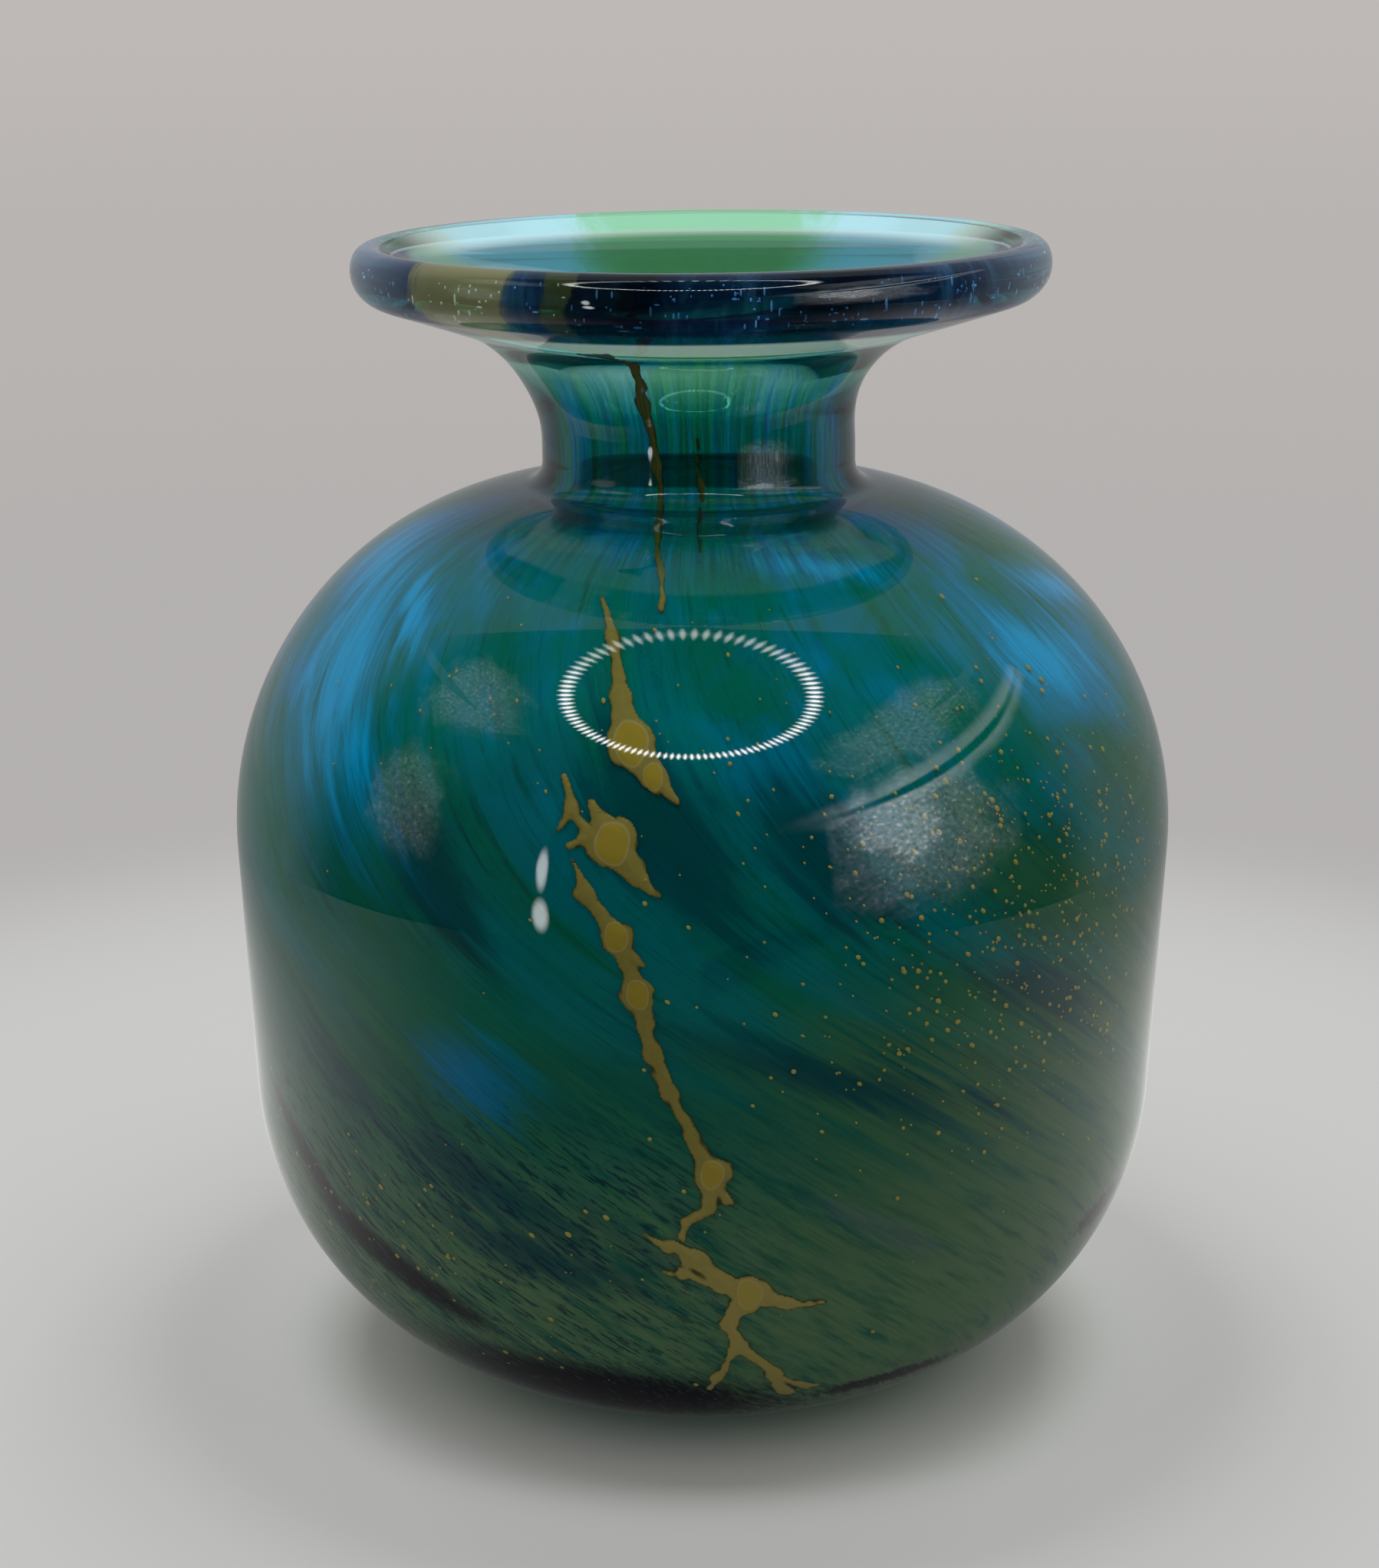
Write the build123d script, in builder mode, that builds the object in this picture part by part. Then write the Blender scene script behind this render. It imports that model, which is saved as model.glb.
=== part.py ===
"""Hand blown art glass vase: a thin colour layer fused between an inner gather and a clear casing.

Millimetres, Z up, the front along -Y. The origin is the centre of the flat foot.
Every coloured piece is a patch of the one colour layer, so the pieces tile it without overlapping.
"""

import os
from math import acos, asin, atan2, cos, degrees, hypot, radians, sin, sqrt, tan

from build123d import *

os.makedirs("parts", exist_ok=True)

# Body: a heel arc, a nearly straight side and a shoulder arc.
body_radius = 61.7
heel_radius = 42.0
heel_centre = (18.3, 41.6)
shoulder_radius = 45.2
shoulder_centre = (body_radius - shoulder_radius, 74.2)

# Neck, flared mouth and rounded lip.
neck_radius = 20.3
neck_fillet = 3.0
flare_radius = 14.2
flare_height = 125.5
flare_sweep = 72.0
flare_reach = 12.0
lip_radius = 4.5
lip_turn = 20.0
crown_radius = 2.4
bowl_radius = 10.0
bowl_slope = 26.0

# Depth of each layer boundary below the outer skin, and its height above the foot at the floor.
coat_depth, coat_floor = 2.6, 4.0
gather_depth, gather_floor = 3.4, 4.8
cavity_depth, cavity_floor = 4.6, 8.5

# The colour layer ends inside the lip, where a blue band with an ochre window follows the coat.
layer_end_radius = 40.0
band_start_radius = 31.0
window_azimuth = -50.0
window_sweep = 18.0


def polar(centre, radius, angle):
    """Point at an angle in degrees on a circle in the profile plane."""
    return (centre[0] + radius * cos(radians(angle)), centre[1] + radius * sin(radians(angle)))


# The side is the common tangent of the heel and shoulder arcs.
run = shoulder_centre[0] - heel_centre[0]
rise = shoulder_centre[1] - heel_centre[1]
tangent_offset = acos((heel_radius - shoulder_radius) / hypot(run, rise))
side_angle = degrees(atan2(rise, run) - tangent_offset)

# The neck fillet touches the shoulder arc and the straight neck.
fillet_run = neck_radius + neck_fillet - shoulder_centre[0]
fillet_rise = sqrt((shoulder_radius + neck_fillet) ** 2 - fillet_run**2)
fillet_centre = (neck_radius + neck_fillet, shoulder_centre[1] + fillet_rise)
neck_angle = degrees(atan2(fillet_rise, fillet_run))

# The flare runs on as a straight underside, which the lip arc and then the smaller crown arc round off.
flare_centre = (neck_radius + flare_radius, flare_height)
underside_angle = 90 - flare_sweep
flare_end = polar(flare_centre, flare_radius, 180 - flare_sweep)
underside_end = polar(flare_end, flare_reach, underside_angle)
lip_centre = polar(underside_end, lip_radius, 90 + underside_angle)
crown_centre = polar(lip_centre, lip_radius - crown_radius, lip_turn)
crown_end = polar(crown_centre, crown_radius, 90 + bowl_slope)

# The bowl inside the mouth leaves the crown as a straight slope and bends down into the neck.
bowl_centre_radius = neck_radius - cavity_depth + bowl_radius
bowl_edge_radius = bowl_centre_radius - bowl_radius * sin(radians(bowl_slope))
bowl_edge_height = crown_end[1] - (crown_end[0] - bowl_edge_radius) * tan(radians(bowl_slope))
bowl_centre = (bowl_centre_radius, bowl_edge_height - bowl_radius * cos(radians(bowl_slope)))
bowl_at_layer_end = crown_end[1] - (crown_end[0] - layer_end_radius) * tan(radians(bowl_slope))


def draw_wall(depth, floor, mouth_centre, mouth_radius, mouth_sweep):
    """Draw one layer boundary from the axis at the floor up to the end of its mouth arc."""
    heel_start = degrees(asin((floor - heel_centre[1]) / (heel_radius - depth)))
    heel = CenterArc(heel_centre, heel_radius - depth, heel_start, side_angle - heel_start)
    shoulder = CenterArc(shoulder_centre, shoulder_radius - depth, side_angle, neck_angle - side_angle)
    fillet = CenterArc(fillet_centre, neck_fillet + depth, neck_angle + 180, -neck_angle)
    mouth = CenterArc(mouth_centre, mouth_radius, 180, -mouth_sweep)
    Line((0, floor), heel @ 0)
    Line(heel @ 1, shoulder @ 0)
    Line(fillet @ 1, mouth @ 0)
    return mouth @ 1


def boundary_point(depth, radius):
    """Point of a layer boundary on the straight underside of the lip."""
    bend = polar(flare_centre, flare_radius + depth, 180 - flare_sweep)
    return (radius, bend[1] + (radius - bend[0]) * tan(radians(underside_angle)))


def draw_layer_boundary(depth, floor, end_radius):
    """Draw a boundary of the colour layer from the axis at the floor as far as a radius in the lip."""
    bend = draw_wall(depth, floor, flare_centre, flare_radius + depth, flare_sweep)
    Line(bend, boundary_point(depth, end_radius))


def facing(azimuth):
    """Upright plane on the axis that looks outwards at an angle round from the front."""
    turn = radians(azimuth)
    return Plane((0, 0, 0), x_dir=(cos(turn), sin(turn), 0), z_dir=(sin(turn), -cos(turn), 0))


def draw_trail(beads):
    """Draw a molten trail: beads of glass (across, height, radius) joined by tapering necks."""
    for first, second in zip(beads, beads[1:]):
        with BuildSketch(Plane.XY, mode=Mode.PRIVATE) as link:
            for across, height, radius in (first, second):
                with Locations((across, height)):
                    Circle(radius)
            make_hull()
        add(link.sketch)


# Outer gather of clear glass: foot, body, neck and the whole of the lip.
with BuildPart() as clear_casing:
    with BuildSketch(Plane.XZ):
        with BuildLine():
            skin_end = draw_wall(0, 0, flare_centre, flare_radius, flare_sweep)
            Line(skin_end, underside_end)
            CenterArc(lip_centre, lip_radius, underside_angle - 90, lip_turn + flare_sweep)
            CenterArc(crown_centre, crown_radius, lip_turn, 90 + bowl_slope - lip_turn)
            draw_layer_boundary(coat_depth, coat_floor, layer_end_radius)
            layer_end = boundary_point(coat_depth, layer_end_radius)
            Polyline(crown_end, (layer_end_radius, bowl_at_layer_end), layer_end)
            Line((0, 0), (0, coat_floor))
        make_face()
    revolve(axis=Axis.Z)
clear_casing.part.label = "clear_casing"

# Inner gather, with the cavity, the inside of the neck and the bowl of the mouth.
with BuildPart() as inner_gather:
    with BuildSketch(Plane.XZ):
        with BuildLine():
            draw_layer_boundary(gather_depth, gather_floor, layer_end_radius)
            layer_end = boundary_point(gather_depth, layer_end_radius)
            bowl_end = draw_wall(cavity_depth, cavity_floor, bowl_centre, bowl_radius, 90 - bowl_slope)
            Polyline(layer_end, (layer_end_radius, bowl_at_layer_end), bowl_end)
            Line((0, gather_floor), (0, cavity_floor))
        make_face()
    revolve(axis=Axis.Z)
inner_gather.part.label = "inner_gather"

# The colour layer up to the lip band, which the coat and the other colours share out between them.
with BuildPart() as colour_layer:
    with BuildSketch(Plane.XZ):
        with BuildLine():
            draw_layer_boundary(coat_depth, coat_floor, band_start_radius)
            draw_layer_boundary(gather_depth, gather_floor, band_start_radius)
            Line(
                boundary_point(coat_depth, band_start_radius),
                boundary_point(gather_depth, band_start_radius),
            )
            Line((0, coat_floor), (0, gather_floor))
        make_face()
    revolve(axis=Axis.Z)


def band_section(azimuth):
    """Section of the lip band on the upright plane at an azimuth."""
    turn = radians(azimuth)
    plane = Plane((0, 0, 0), x_dir=(sin(turn), -cos(turn), 0), z_dir=(-cos(turn), -sin(turn), 0))
    with BuildSketch(plane) as section:
        with BuildLine():
            Polyline(
                boundary_point(coat_depth, band_start_radius),
                boundary_point(coat_depth, layer_end_radius),
                boundary_point(gather_depth, layer_end_radius),
                boundary_point(gather_depth, band_start_radius),
                close=True,
            )
        make_face()
    return section.sketch


# Ochre window at the front left of the lip, and the cobalt band round the rest of it.
with BuildPart() as lip_ochre_window:
    revolve(band_section(window_azimuth), axis=Axis.Z, revolution_arc=window_sweep)
lip_ochre_window.part.label = "lip_ochre_window"

with BuildPart() as lip_cobalt_band:
    revolve(
        band_section(window_azimuth + window_sweep),
        axis=Axis.Z,
        revolution_arc=360 - window_sweep,
    )
lip_cobalt_band.part.label = "lip_cobalt_band"

# Prisms that cut the coloured pieces out of the layer, and so leave their openings in the coat.
prisms = []
tiles = []


def cut_tile(name, prism):
    """Take the part of the colour layer inside a prism as a piece of its own."""
    with BuildPart() as tile:
        add(colour_layer.part)
        add(prism, mode=Mode.INTERSECT)
    tile.part.label = name
    prisms.append(prism)
    tiles.append(tile.part)


# Molten ochre down the front: a thread in the neck, then four lengths of trail.
trail_beads = {
    "ochre_neck_thread": [(-6.4, 136.0, 0.6), (-5.8, 131.0, 1.0), (-5.2, 124.0, 0.5), (-4.3, 115.5, 0.5)],
    "ochre_trail_shoulder": [
        (-10.6, 110.0, 0.7),
        (-9.8, 103.0, 0.9),
        (-8.4, 98.0, 2.5),
        (-5.8, 94.6, 1.3),
        (-3.6, 92.6, 0.4),
    ],
    "ochre_trail_middle": [(-13.0, 91.6, 0.4), (-10.8, 87.2, 2.6), (-8.2, 84.2, 1.1), (-5.4, 81.8, 0.3)],
    "ochre_trail_chain": [
        (-14.2, 83.0, 0.3),
        (-14.0, 81.2, 0.9),
        (-12.0, 78.6, 0.4),
        (-10.3, 75.8, 1.7),
        (-9.2, 72.6, 0.5),
        (-7.7, 69.0, 1.7),
        (-6.7, 65.0, 0.5),
        (-5.9, 61.6, 0.9),
        (-3.9, 56.8, 0.4),
        (-1.2, 51.4, 0.6),
        (1.2, 46.4, 1.8),
        (1.0, 42.4, 0.5),
    ],
    "ochre_trail_foot": [
        (-3.0, 37.4, 0.4),
        (-1.0, 34.8, 1.2),
        (2.2, 31.6, 0.8),
        (5.8, 29.6, 2.2),
        (3.0, 25.6, 0.6),
        (4.4, 21.4, 0.8),
        (8.6, 15.6, 0.6),
        (10.4, 11.8, 1.0),
    ],
}

for trail_name, beads in trail_beads.items():
    with BuildPart() as trail_prism:
        with BuildSketch(facing(0)):
            draw_trail(beads)
        extrude(amount=body_radius)
    cut_tile(trail_name, trail_prism.part)

# Patches and streaks: azimuth round from the front, height, half length, half width and tilt.
patches = {
    "azure_patch_shoulder_left": (-61, 106.0, 9.0, 4.0, 35),
    "azure_patch_shoulder_right": (59, 100.0, 7.0, 4.5, -25),
    "azure_patch_front": (-22, 55.5, 6.5, 3.2, -20),
    "azure_patch_back": (165, 88.0, 10.0, 5.0, 30),
    "lilac_patch": (24, 36.0, 7.0, 1.8, -22),
    "cobalt_streak_left": (-44, 31.2, 19.0, 1.6, -22),
    "cobalt_streak_foot": (-14, 12.4, 17.0, 3.0, -8),
    "cobalt_streak_right": (64, 28.0, 8.0, 1.8, 30),
    "cobalt_streak_back": (172, 34.0, 20.0, 2.0, -20),
}

for patch_name, (azimuth, height, half_length, half_width, tilt) in patches.items():
    with BuildPart() as patch_prism:
        with BuildSketch(facing(azimuth)):
            with Locations((0, height)):
                Ellipse(half_length, half_width, rotation=tilt)
        extrude(amount=body_radius)
    cut_tile(patch_name, patch_prism.part)

# Ochre frit: equal grains strewn over the right of the front in a sunflower spiral.
grain_count = 44
grain_radius = 0.45
frit_azimuth = 44.0
frit_height = 78.0
frit_reach = 14.5
golden_angle = 137.508

with BuildPart() as frit_prisms:
    with BuildSketch(facing(frit_azimuth)):
        for grain in range(1, grain_count + 1):
            reach = frit_reach * sqrt(grain / grain_count)
            with Locations(polar((0, frit_height), reach, golden_angle * grain)):
                Circle(grain_radius)
    extrude(amount=body_radius)
cut_tile("ochre_frit", frit_prisms.part)

# Teal colour coat: the rest of the layer.
with BuildPart() as colour_coat:
    add(colour_layer.part)
    for prism in prisms:
        add(prism, mode=Mode.SUBTRACT)
colour_coat.part.label = "colour_coat"

layers = (clear_casing, inner_gather, colour_coat, lip_cobalt_band, lip_ochre_window)
for piece in (*(layer.part for layer in layers), *tiles):
    export_step(piece, f"parts/{piece.label}.step")
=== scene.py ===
"""Looks for the art glass vase: glass walls, swirled colours, ochre trail, frit, floor, lights and camera."""

import math
import random

import bmesh
import bpy
import numpy as np
from mathutils import Matrix, Vector, noise


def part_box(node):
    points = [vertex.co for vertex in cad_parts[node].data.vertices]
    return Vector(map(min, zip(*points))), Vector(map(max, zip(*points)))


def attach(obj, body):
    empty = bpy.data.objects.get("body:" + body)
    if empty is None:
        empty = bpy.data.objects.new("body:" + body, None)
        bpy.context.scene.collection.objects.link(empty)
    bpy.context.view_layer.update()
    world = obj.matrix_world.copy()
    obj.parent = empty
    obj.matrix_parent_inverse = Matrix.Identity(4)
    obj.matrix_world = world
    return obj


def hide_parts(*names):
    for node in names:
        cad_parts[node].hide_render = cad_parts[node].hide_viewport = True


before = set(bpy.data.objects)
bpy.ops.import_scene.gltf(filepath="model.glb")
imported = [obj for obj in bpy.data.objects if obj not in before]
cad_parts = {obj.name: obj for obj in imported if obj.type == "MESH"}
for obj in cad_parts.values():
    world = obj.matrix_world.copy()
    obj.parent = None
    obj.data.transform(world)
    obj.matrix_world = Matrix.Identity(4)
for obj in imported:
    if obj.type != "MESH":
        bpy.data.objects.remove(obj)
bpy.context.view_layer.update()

# One millimetre of the vase as drawn, from the height of the CAD casing.
DRAWN_HEIGHT = 150.11
casing_low, casing_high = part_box("clear_casing")
MM = (casing_high.z - casing_low.z) / DRAWN_HEIGHT

# Wall section, in drawn millimetres.
HEEL_CENTRE, HEEL_RADIUS = (18.3, 41.6), 42.0
SHOULDER_CENTRE, SHOULDER_RADIUS = (16.5, 74.2), 45.2
NECK_RADIUS, NECK_FILLET = 20.3, 3.0
FLARE_CENTRE, FLARE_RADIUS, FLARE_SWEEP = (34.5, 125.5), 14.2, 72.0
FLARE_REACH = 12.0
LIP_RADIUS, LIP_TURN = 4.5, 20.0
CROWN_RADIUS = 2.4
BOWL_RADIUS, BOWL_SLOPE = 10.0, 26.0
COAT_DEPTH, COAT_FLOOR = 2.6, 4.0
GATHER_DEPTH, GATHER_FLOOR = 3.4, 4.8
CAVITY_DEPTH, CAVITY_FLOOR = 4.6, 8.5
LAYER_END = 40.8
NECK_THINNING = 1.5
GAP = 0.03
SEGMENTS = 256


def polar(centre, radius, angle):
    """Point on a circle, with the angle in degrees."""
    turn = math.radians(angle)
    return (centre[0] + radius * math.cos(turn), centre[1] + radius * math.sin(turn))


def arc(centre, radius, start, sweep, step=1.0):
    """Points along an arc, about step millimetres apart."""
    count = max(3, round(abs(math.radians(sweep)) * radius / step))
    return [polar(centre, radius, start + sweep * i / count) for i in range(count + 1)]


def slope_line(start, end, step=1.0):
    """Points along a straight run, without its first point."""
    count = max(1, round(math.dist(start, end) / step))
    return [tuple(np.add(start, np.subtract(end, start) * i / count)) for i in range(1, count + 1)]


RUN, RISE = np.subtract(SHOULDER_CENTRE, HEEL_CENTRE)
SIDE_ANGLE = math.degrees(
    math.atan2(RISE, RUN) - math.acos((HEEL_RADIUS - SHOULDER_RADIUS) / math.hypot(RUN, RISE))
)
FILLET_RUN = NECK_RADIUS + NECK_FILLET - SHOULDER_CENTRE[0]
FILLET_RISE = math.sqrt((SHOULDER_RADIUS + NECK_FILLET) ** 2 - FILLET_RUN**2)
FILLET_CENTRE = (NECK_RADIUS + NECK_FILLET, SHOULDER_CENTRE[1] + FILLET_RISE)
NECK_ANGLE = math.degrees(math.atan2(FILLET_RISE, FILLET_RUN))
UNDERSIDE = 90 - FLARE_SWEEP
FLARE_END = polar(FLARE_CENTRE, FLARE_RADIUS, 180 - FLARE_SWEEP)
UNDERSIDE_END = polar(FLARE_END, FLARE_REACH, UNDERSIDE)
LIP_CENTRE = polar(UNDERSIDE_END, LIP_RADIUS, 90 + UNDERSIDE)
CROWN_CENTRE = polar(LIP_CENTRE, LIP_RADIUS - CROWN_RADIUS, LIP_TURN)
CROWN_END = polar(CROWN_CENTRE, CROWN_RADIUS, 90 + BOWL_SLOPE)
BOWL_CENTRE_R = NECK_RADIUS - CAVITY_DEPTH + BOWL_RADIUS
BOWL_EDGE_R = BOWL_CENTRE_R - BOWL_RADIUS * math.sin(math.radians(BOWL_SLOPE))


def bowl_height(radius):
    """Height of the straight slope of the bowl at a radius."""
    return CROWN_END[1] - (CROWN_END[0] - radius) * math.tan(math.radians(BOWL_SLOPE))


BOWL_CENTRE = (
    BOWL_CENTRE_R,
    bowl_height(BOWL_EDGE_R) - BOWL_RADIUS * math.cos(math.radians(BOWL_SLOPE)),
)


def ease(low, high, value):
    """Smooth step from 0 at low to 1 at high."""
    t = min(max((value - low) / (high - low), 0.0), 1.0)
    return t * t * (3 - 2 * t)


def wall(depth, floor):
    """Points of a wall boundary at a depth below the skin, from the axis at the floor up to the neck."""
    heel_start = math.degrees(math.asin((floor - HEEL_CENTRE[1]) / (HEEL_RADIUS - depth)))
    heel = arc(HEEL_CENTRE, HEEL_RADIUS - depth, heel_start, SIDE_ANGLE - heel_start)
    shoulder = arc(SHOULDER_CENTRE, SHOULDER_RADIUS - depth, SIDE_ANGLE, NECK_ANGLE - SIDE_ANGLE)
    fillet = arc(FILLET_CENTRE, NECK_FILLET + depth, NECK_ANGLE + 180, -NECK_ANGLE, 0.5)
    foot = [(0.0, floor)] + slope_line((0.0, floor), heel[0], 2.0)[:-1]
    side = slope_line(heel[-1], shoulder[0])[:-1]
    return foot + heel + side + shoulder + fillet[1:]


def thinning(height):
    """How much closer to the skin the colour lies in the neck, where the casing is thinner."""
    return NECK_THINNING * ease(103, 115, height) * (1 - ease(131, 139, height))


def layer_boundary(depth, floor, end_radius):
    """Boundary of the colour layer, from the axis at the floor up to its end inside the lip."""
    points = wall(depth, floor)
    flare = arc(FLARE_CENTRE, FLARE_RADIUS + depth, 180, -FLARE_SWEEP)
    climb = (end_radius - flare[-1][0]) * math.tan(math.radians(UNDERSIDE))
    end = (end_radius, flare[-1][1] + climb)
    points += slope_line(points[-1], flare[0]) + flare[1:] + slope_line(flare[-1], end)
    return [(r + thinning(z), z) for r, z in points]


def outer_skin():
    """Outside of the vase from the axis under the foot, up and over the lip to the top of the bowl."""
    points = wall(0.0, 0.0)
    flare = arc(FLARE_CENTRE, FLARE_RADIUS, 180, -FLARE_SWEEP)
    lip = arc(LIP_CENTRE, LIP_RADIUS, UNDERSIDE - 90, LIP_TURN + FLARE_SWEEP, 0.4)
    crown = arc(CROWN_CENTRE, CROWN_RADIUS, LIP_TURN, 90 + BOWL_SLOPE - LIP_TURN, 0.3)
    return (
        points
        + slope_line(points[-1], flare[0])
        + flare[1:]
        + slope_line(flare[-1], lip[0])
        + lip[1:]
        + crown[1:]
    )


def cavity_skin():
    """Inside of the vase from the axis on the cavity floor up to the end of the bowl."""
    points = wall(CAVITY_DEPTH, CAVITY_FLOOR)
    bowl = arc(BOWL_CENTRE, BOWL_RADIUS, 180, BOWL_SLOPE - 90, 0.6)
    end = (LAYER_END, bowl_height(LAYER_END))
    return points + slope_line(points[-1], bowl[0]) + bowl[1:] + slope_line(bowl[-1], end)


# Hand made drift: the neck and the flare lean a little to the left and the rim is higher on the right.
NECK_DRIFT, FLARE_DRIFT, RIM_TILT = -0.5, -0.9, 0.011


def drifted(x, y, z):
    """A drawn point with the hand made drift, in metres."""
    lean = NECK_DRIFT * ease(95, 125, z) * (1 - 0.6 * ease(130, 148, z))
    lean += FLARE_DRIFT * ease(124, 134, z) * (1 - ease(136, 142, z))
    lift = RIM_TILT * x * ease(128, 146, z)
    return Vector(((x + lean) * MM, y * MM, (z + lift) * MM + casing_low.z))


def placed(name, data):
    """New object for a mesh, a lamp or a camera, in the scene and at the origin."""
    thing = bpy.data.objects.new(name, data)
    bpy.context.scene.collection.objects.link(thing)
    return thing


def revolved(name, runs):
    """Closed mesh turned from runs of (points, material); the first and last points lie on the axis."""
    section, kinds = [], []
    for points, material in runs:
        first = 1 if section else 0
        section += points[first:]
        kinds += [material] * (len(points) - 1)
    mesh = bpy.data.meshes.new(name)
    vertices, rows = [], []
    for radius, height in section:
        if radius < 1e-6:
            rows.append([len(vertices)] * SEGMENTS)
            vertices.append(drifted(0, 0, height))
            continue
        rows.append(range(len(vertices), len(vertices) + SEGMENTS))
        for i in range(SEGMENTS):
            x, y = polar((0, 0), radius, 360 * i / SEGMENTS)
            vertices.append(drifted(x, y, height))
    faces, slots = [], []
    materials = list(dict.fromkeys(kinds))
    for lower, upper, kind in zip(rows, rows[1:], kinds):
        for i in range(SEGMENTS):
            j = (i + 1) % SEGMENTS
            corners = dict.fromkeys((lower[i], lower[j], upper[j], upper[i]))
            faces.append(tuple(corners))
            slots.append(materials.index(kind))
    mesh.from_pydata(vertices, [], faces)
    for material in materials:
        mesh.materials.append(material)
    mesh.polygons.foreach_set("material_index", slots)
    mesh.polygons.foreach_set("use_smooth", [True] * len(faces))
    mesh.set_sharp_from_angle(angle=math.radians(35))
    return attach(placed(name, mesh), "root")


class Nodes:
    """Short calls for building one material's node tree."""

    def __init__(self, name):
        self.material = bpy.data.materials.new(name)
        self.material.use_nodes = True
        self.tree = self.material.node_tree
        self.tree.nodes.clear()
        self.output = self.tree.nodes.new("ShaderNodeOutputMaterial")

    def add(self, kind, settings=None, **inputs):
        """New node of a kind with its settings and inputs; an input is a value or a socket to link."""
        node = self.tree.nodes.new(kind)
        for key, value in (settings or {}).items():
            setattr(node, key, value)
        for key, value in inputs.items():
            self.put(node, key.replace("_", " "), value)
        return node

    def put(self, node, key, value):
        """Give an input, found by name or by number, a value or a link."""
        socket = node.inputs[int(key[1:])] if key[:1] == "i" and key[1:].isdigit() else node.inputs[key]
        if isinstance(value, bpy.types.NodeSocket):
            self.tree.links.new(value, socket)
        else:
            socket.default_value = value

    def maths(self, operation, a, b=0.0, c=0.0):
        """One step of arithmetic."""
        node = self.add("ShaderNodeMath", {"operation": operation}, i0=a, i1=b, i2=c)
        return node.outputs[0]

    def times(self, first, *others):
        """Product of values."""
        for other in others:
            first = self.maths("MULTIPLY", first, other)
        return first

    def most(self, first, *others):
        """Greatest of values."""
        for other in others:
            first = self.maths("MAXIMUM", first, other)
        return first

    def rest(self, share):
        """What a share leaves of one."""
        return self.maths("SUBTRACT", 1.0, share)

    def frayed(self, value, wisps, amount):
        """Value moved up or down by wisps, which are about 0.5 on average."""
        return self.maths("MULTIPLY_ADD", self.maths("SUBTRACT", wisps, 0.5), amount, value)

    def vector(self, operation, a, b=(0, 0, 0)):
        """One step of vector arithmetic."""
        node = self.add("ShaderNodeVectorMath", {"operation": operation}, i0=a, i1=b)
        return node.outputs["Value" if operation in ("LENGTH", "DOT_PRODUCT") else "Vector"]

    def ramp(self, value, low, high, to_low=0.0, to_high=1.0, smooth=True):
        """Value carried from low..high to to_low..to_high and held at the ends."""
        node = self.add(
            "ShaderNodeMapRange",
            {"interpolation_type": "SMOOTHSTEP" if smooth else "LINEAR", "clamp": True},
            Value=value,
        )
        for key, number in zip(("From Min", "From Max", "To Min", "To Max"), (low, high, to_low, to_high)):
            self.put(node, key, number)
        return node.outputs["Result"]

    def noise(self, place, scale, detail=3.0, roughness=0.55, distortion=0.0):
        """Grey noise at a place, scale in features per metre."""
        node = self.add(
            "ShaderNodeTexNoise",
            Vector=place,
            Scale=scale,
            Detail=detail,
            Roughness=roughness,
            Distortion=distortion,
        )
        return node.outputs["Fac"]

    def blend(self, share, a, b):
        """Mix of two colours."""
        node = self.add("ShaderNodeMix", {"data_type": "RGBA", "clamp_factor": True}, i0=share)
        self.put(node, "i6", a)
        self.put(node, "i7", b)
        return node.outputs[2]

    def mix(self, share, a, b):
        """Mix of two shaders."""
        return self.add("ShaderNodeMixShader", i0=share, i1=a, i2=b).outputs[0]

    def powdered(self, tone, translucence):
        """Matt powder colour that lets a share of the light on through it."""
        front = self.add("ShaderNodeBsdfDiffuse", Color=tone).outputs[0]
        return self.mix(translucence, front, self.add("ShaderNodeBsdfTranslucent", Color=tone).outputs[0])

    def glow(self, tone, strength):
        """Even glow that shows in reflections and isn't sampled as a lamp."""
        self.material.cycles.emission_sampling = "NONE"
        return self.add("ShaderNodeEmission", Color=tone, Strength=strength).outputs[0]

    def finish(self, shader):
        """Send a shader to the surface."""
        self.tree.links.new(shader, self.output.inputs["Surface"])
        return self.material


def colour(red, green, blue):
    """Linear colour with full alpha."""
    return (red, green, blue, 1.0)


CLEAR = colour(0.985, 0.995, 0.99)
# How far left of the front the middle of the ochre window lies, in radians.
WINDOW_AT = 0.70


def clear_to_lamps(nodes, shader, tint):
    """Let light from lamps pass straight through a glass skin, so that it reaches the colours behind."""
    path = nodes.add("ShaderNodeLightPath")
    passing = nodes.most(path.outputs["Is Shadow Ray"], path.outputs["Is Diffuse Ray"])
    through = nodes.add("ShaderNodeBsdfTransparent", Color=tint).outputs[0]
    return nodes.mix(passing, shader, through)


def bowl_colour(nodes, azimuth, wisps):
    """Pale colours of the bowl: green at the very back, aqua beside it and grey green at the sides."""
    away = nodes.frayed(nodes.maths("ABSOLUTE", azimuth), wisps, 0.45)
    pale = nodes.blend(nodes.ramp(away, 1.95, 2.15), colour(0.62, 0.88, 0.76), colour(0.55, 0.90, 1.0))
    return nodes.blend(nodes.ramp(away, 2.60, 2.84), pale, colour(0.36, 0.76, 0.52))


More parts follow.
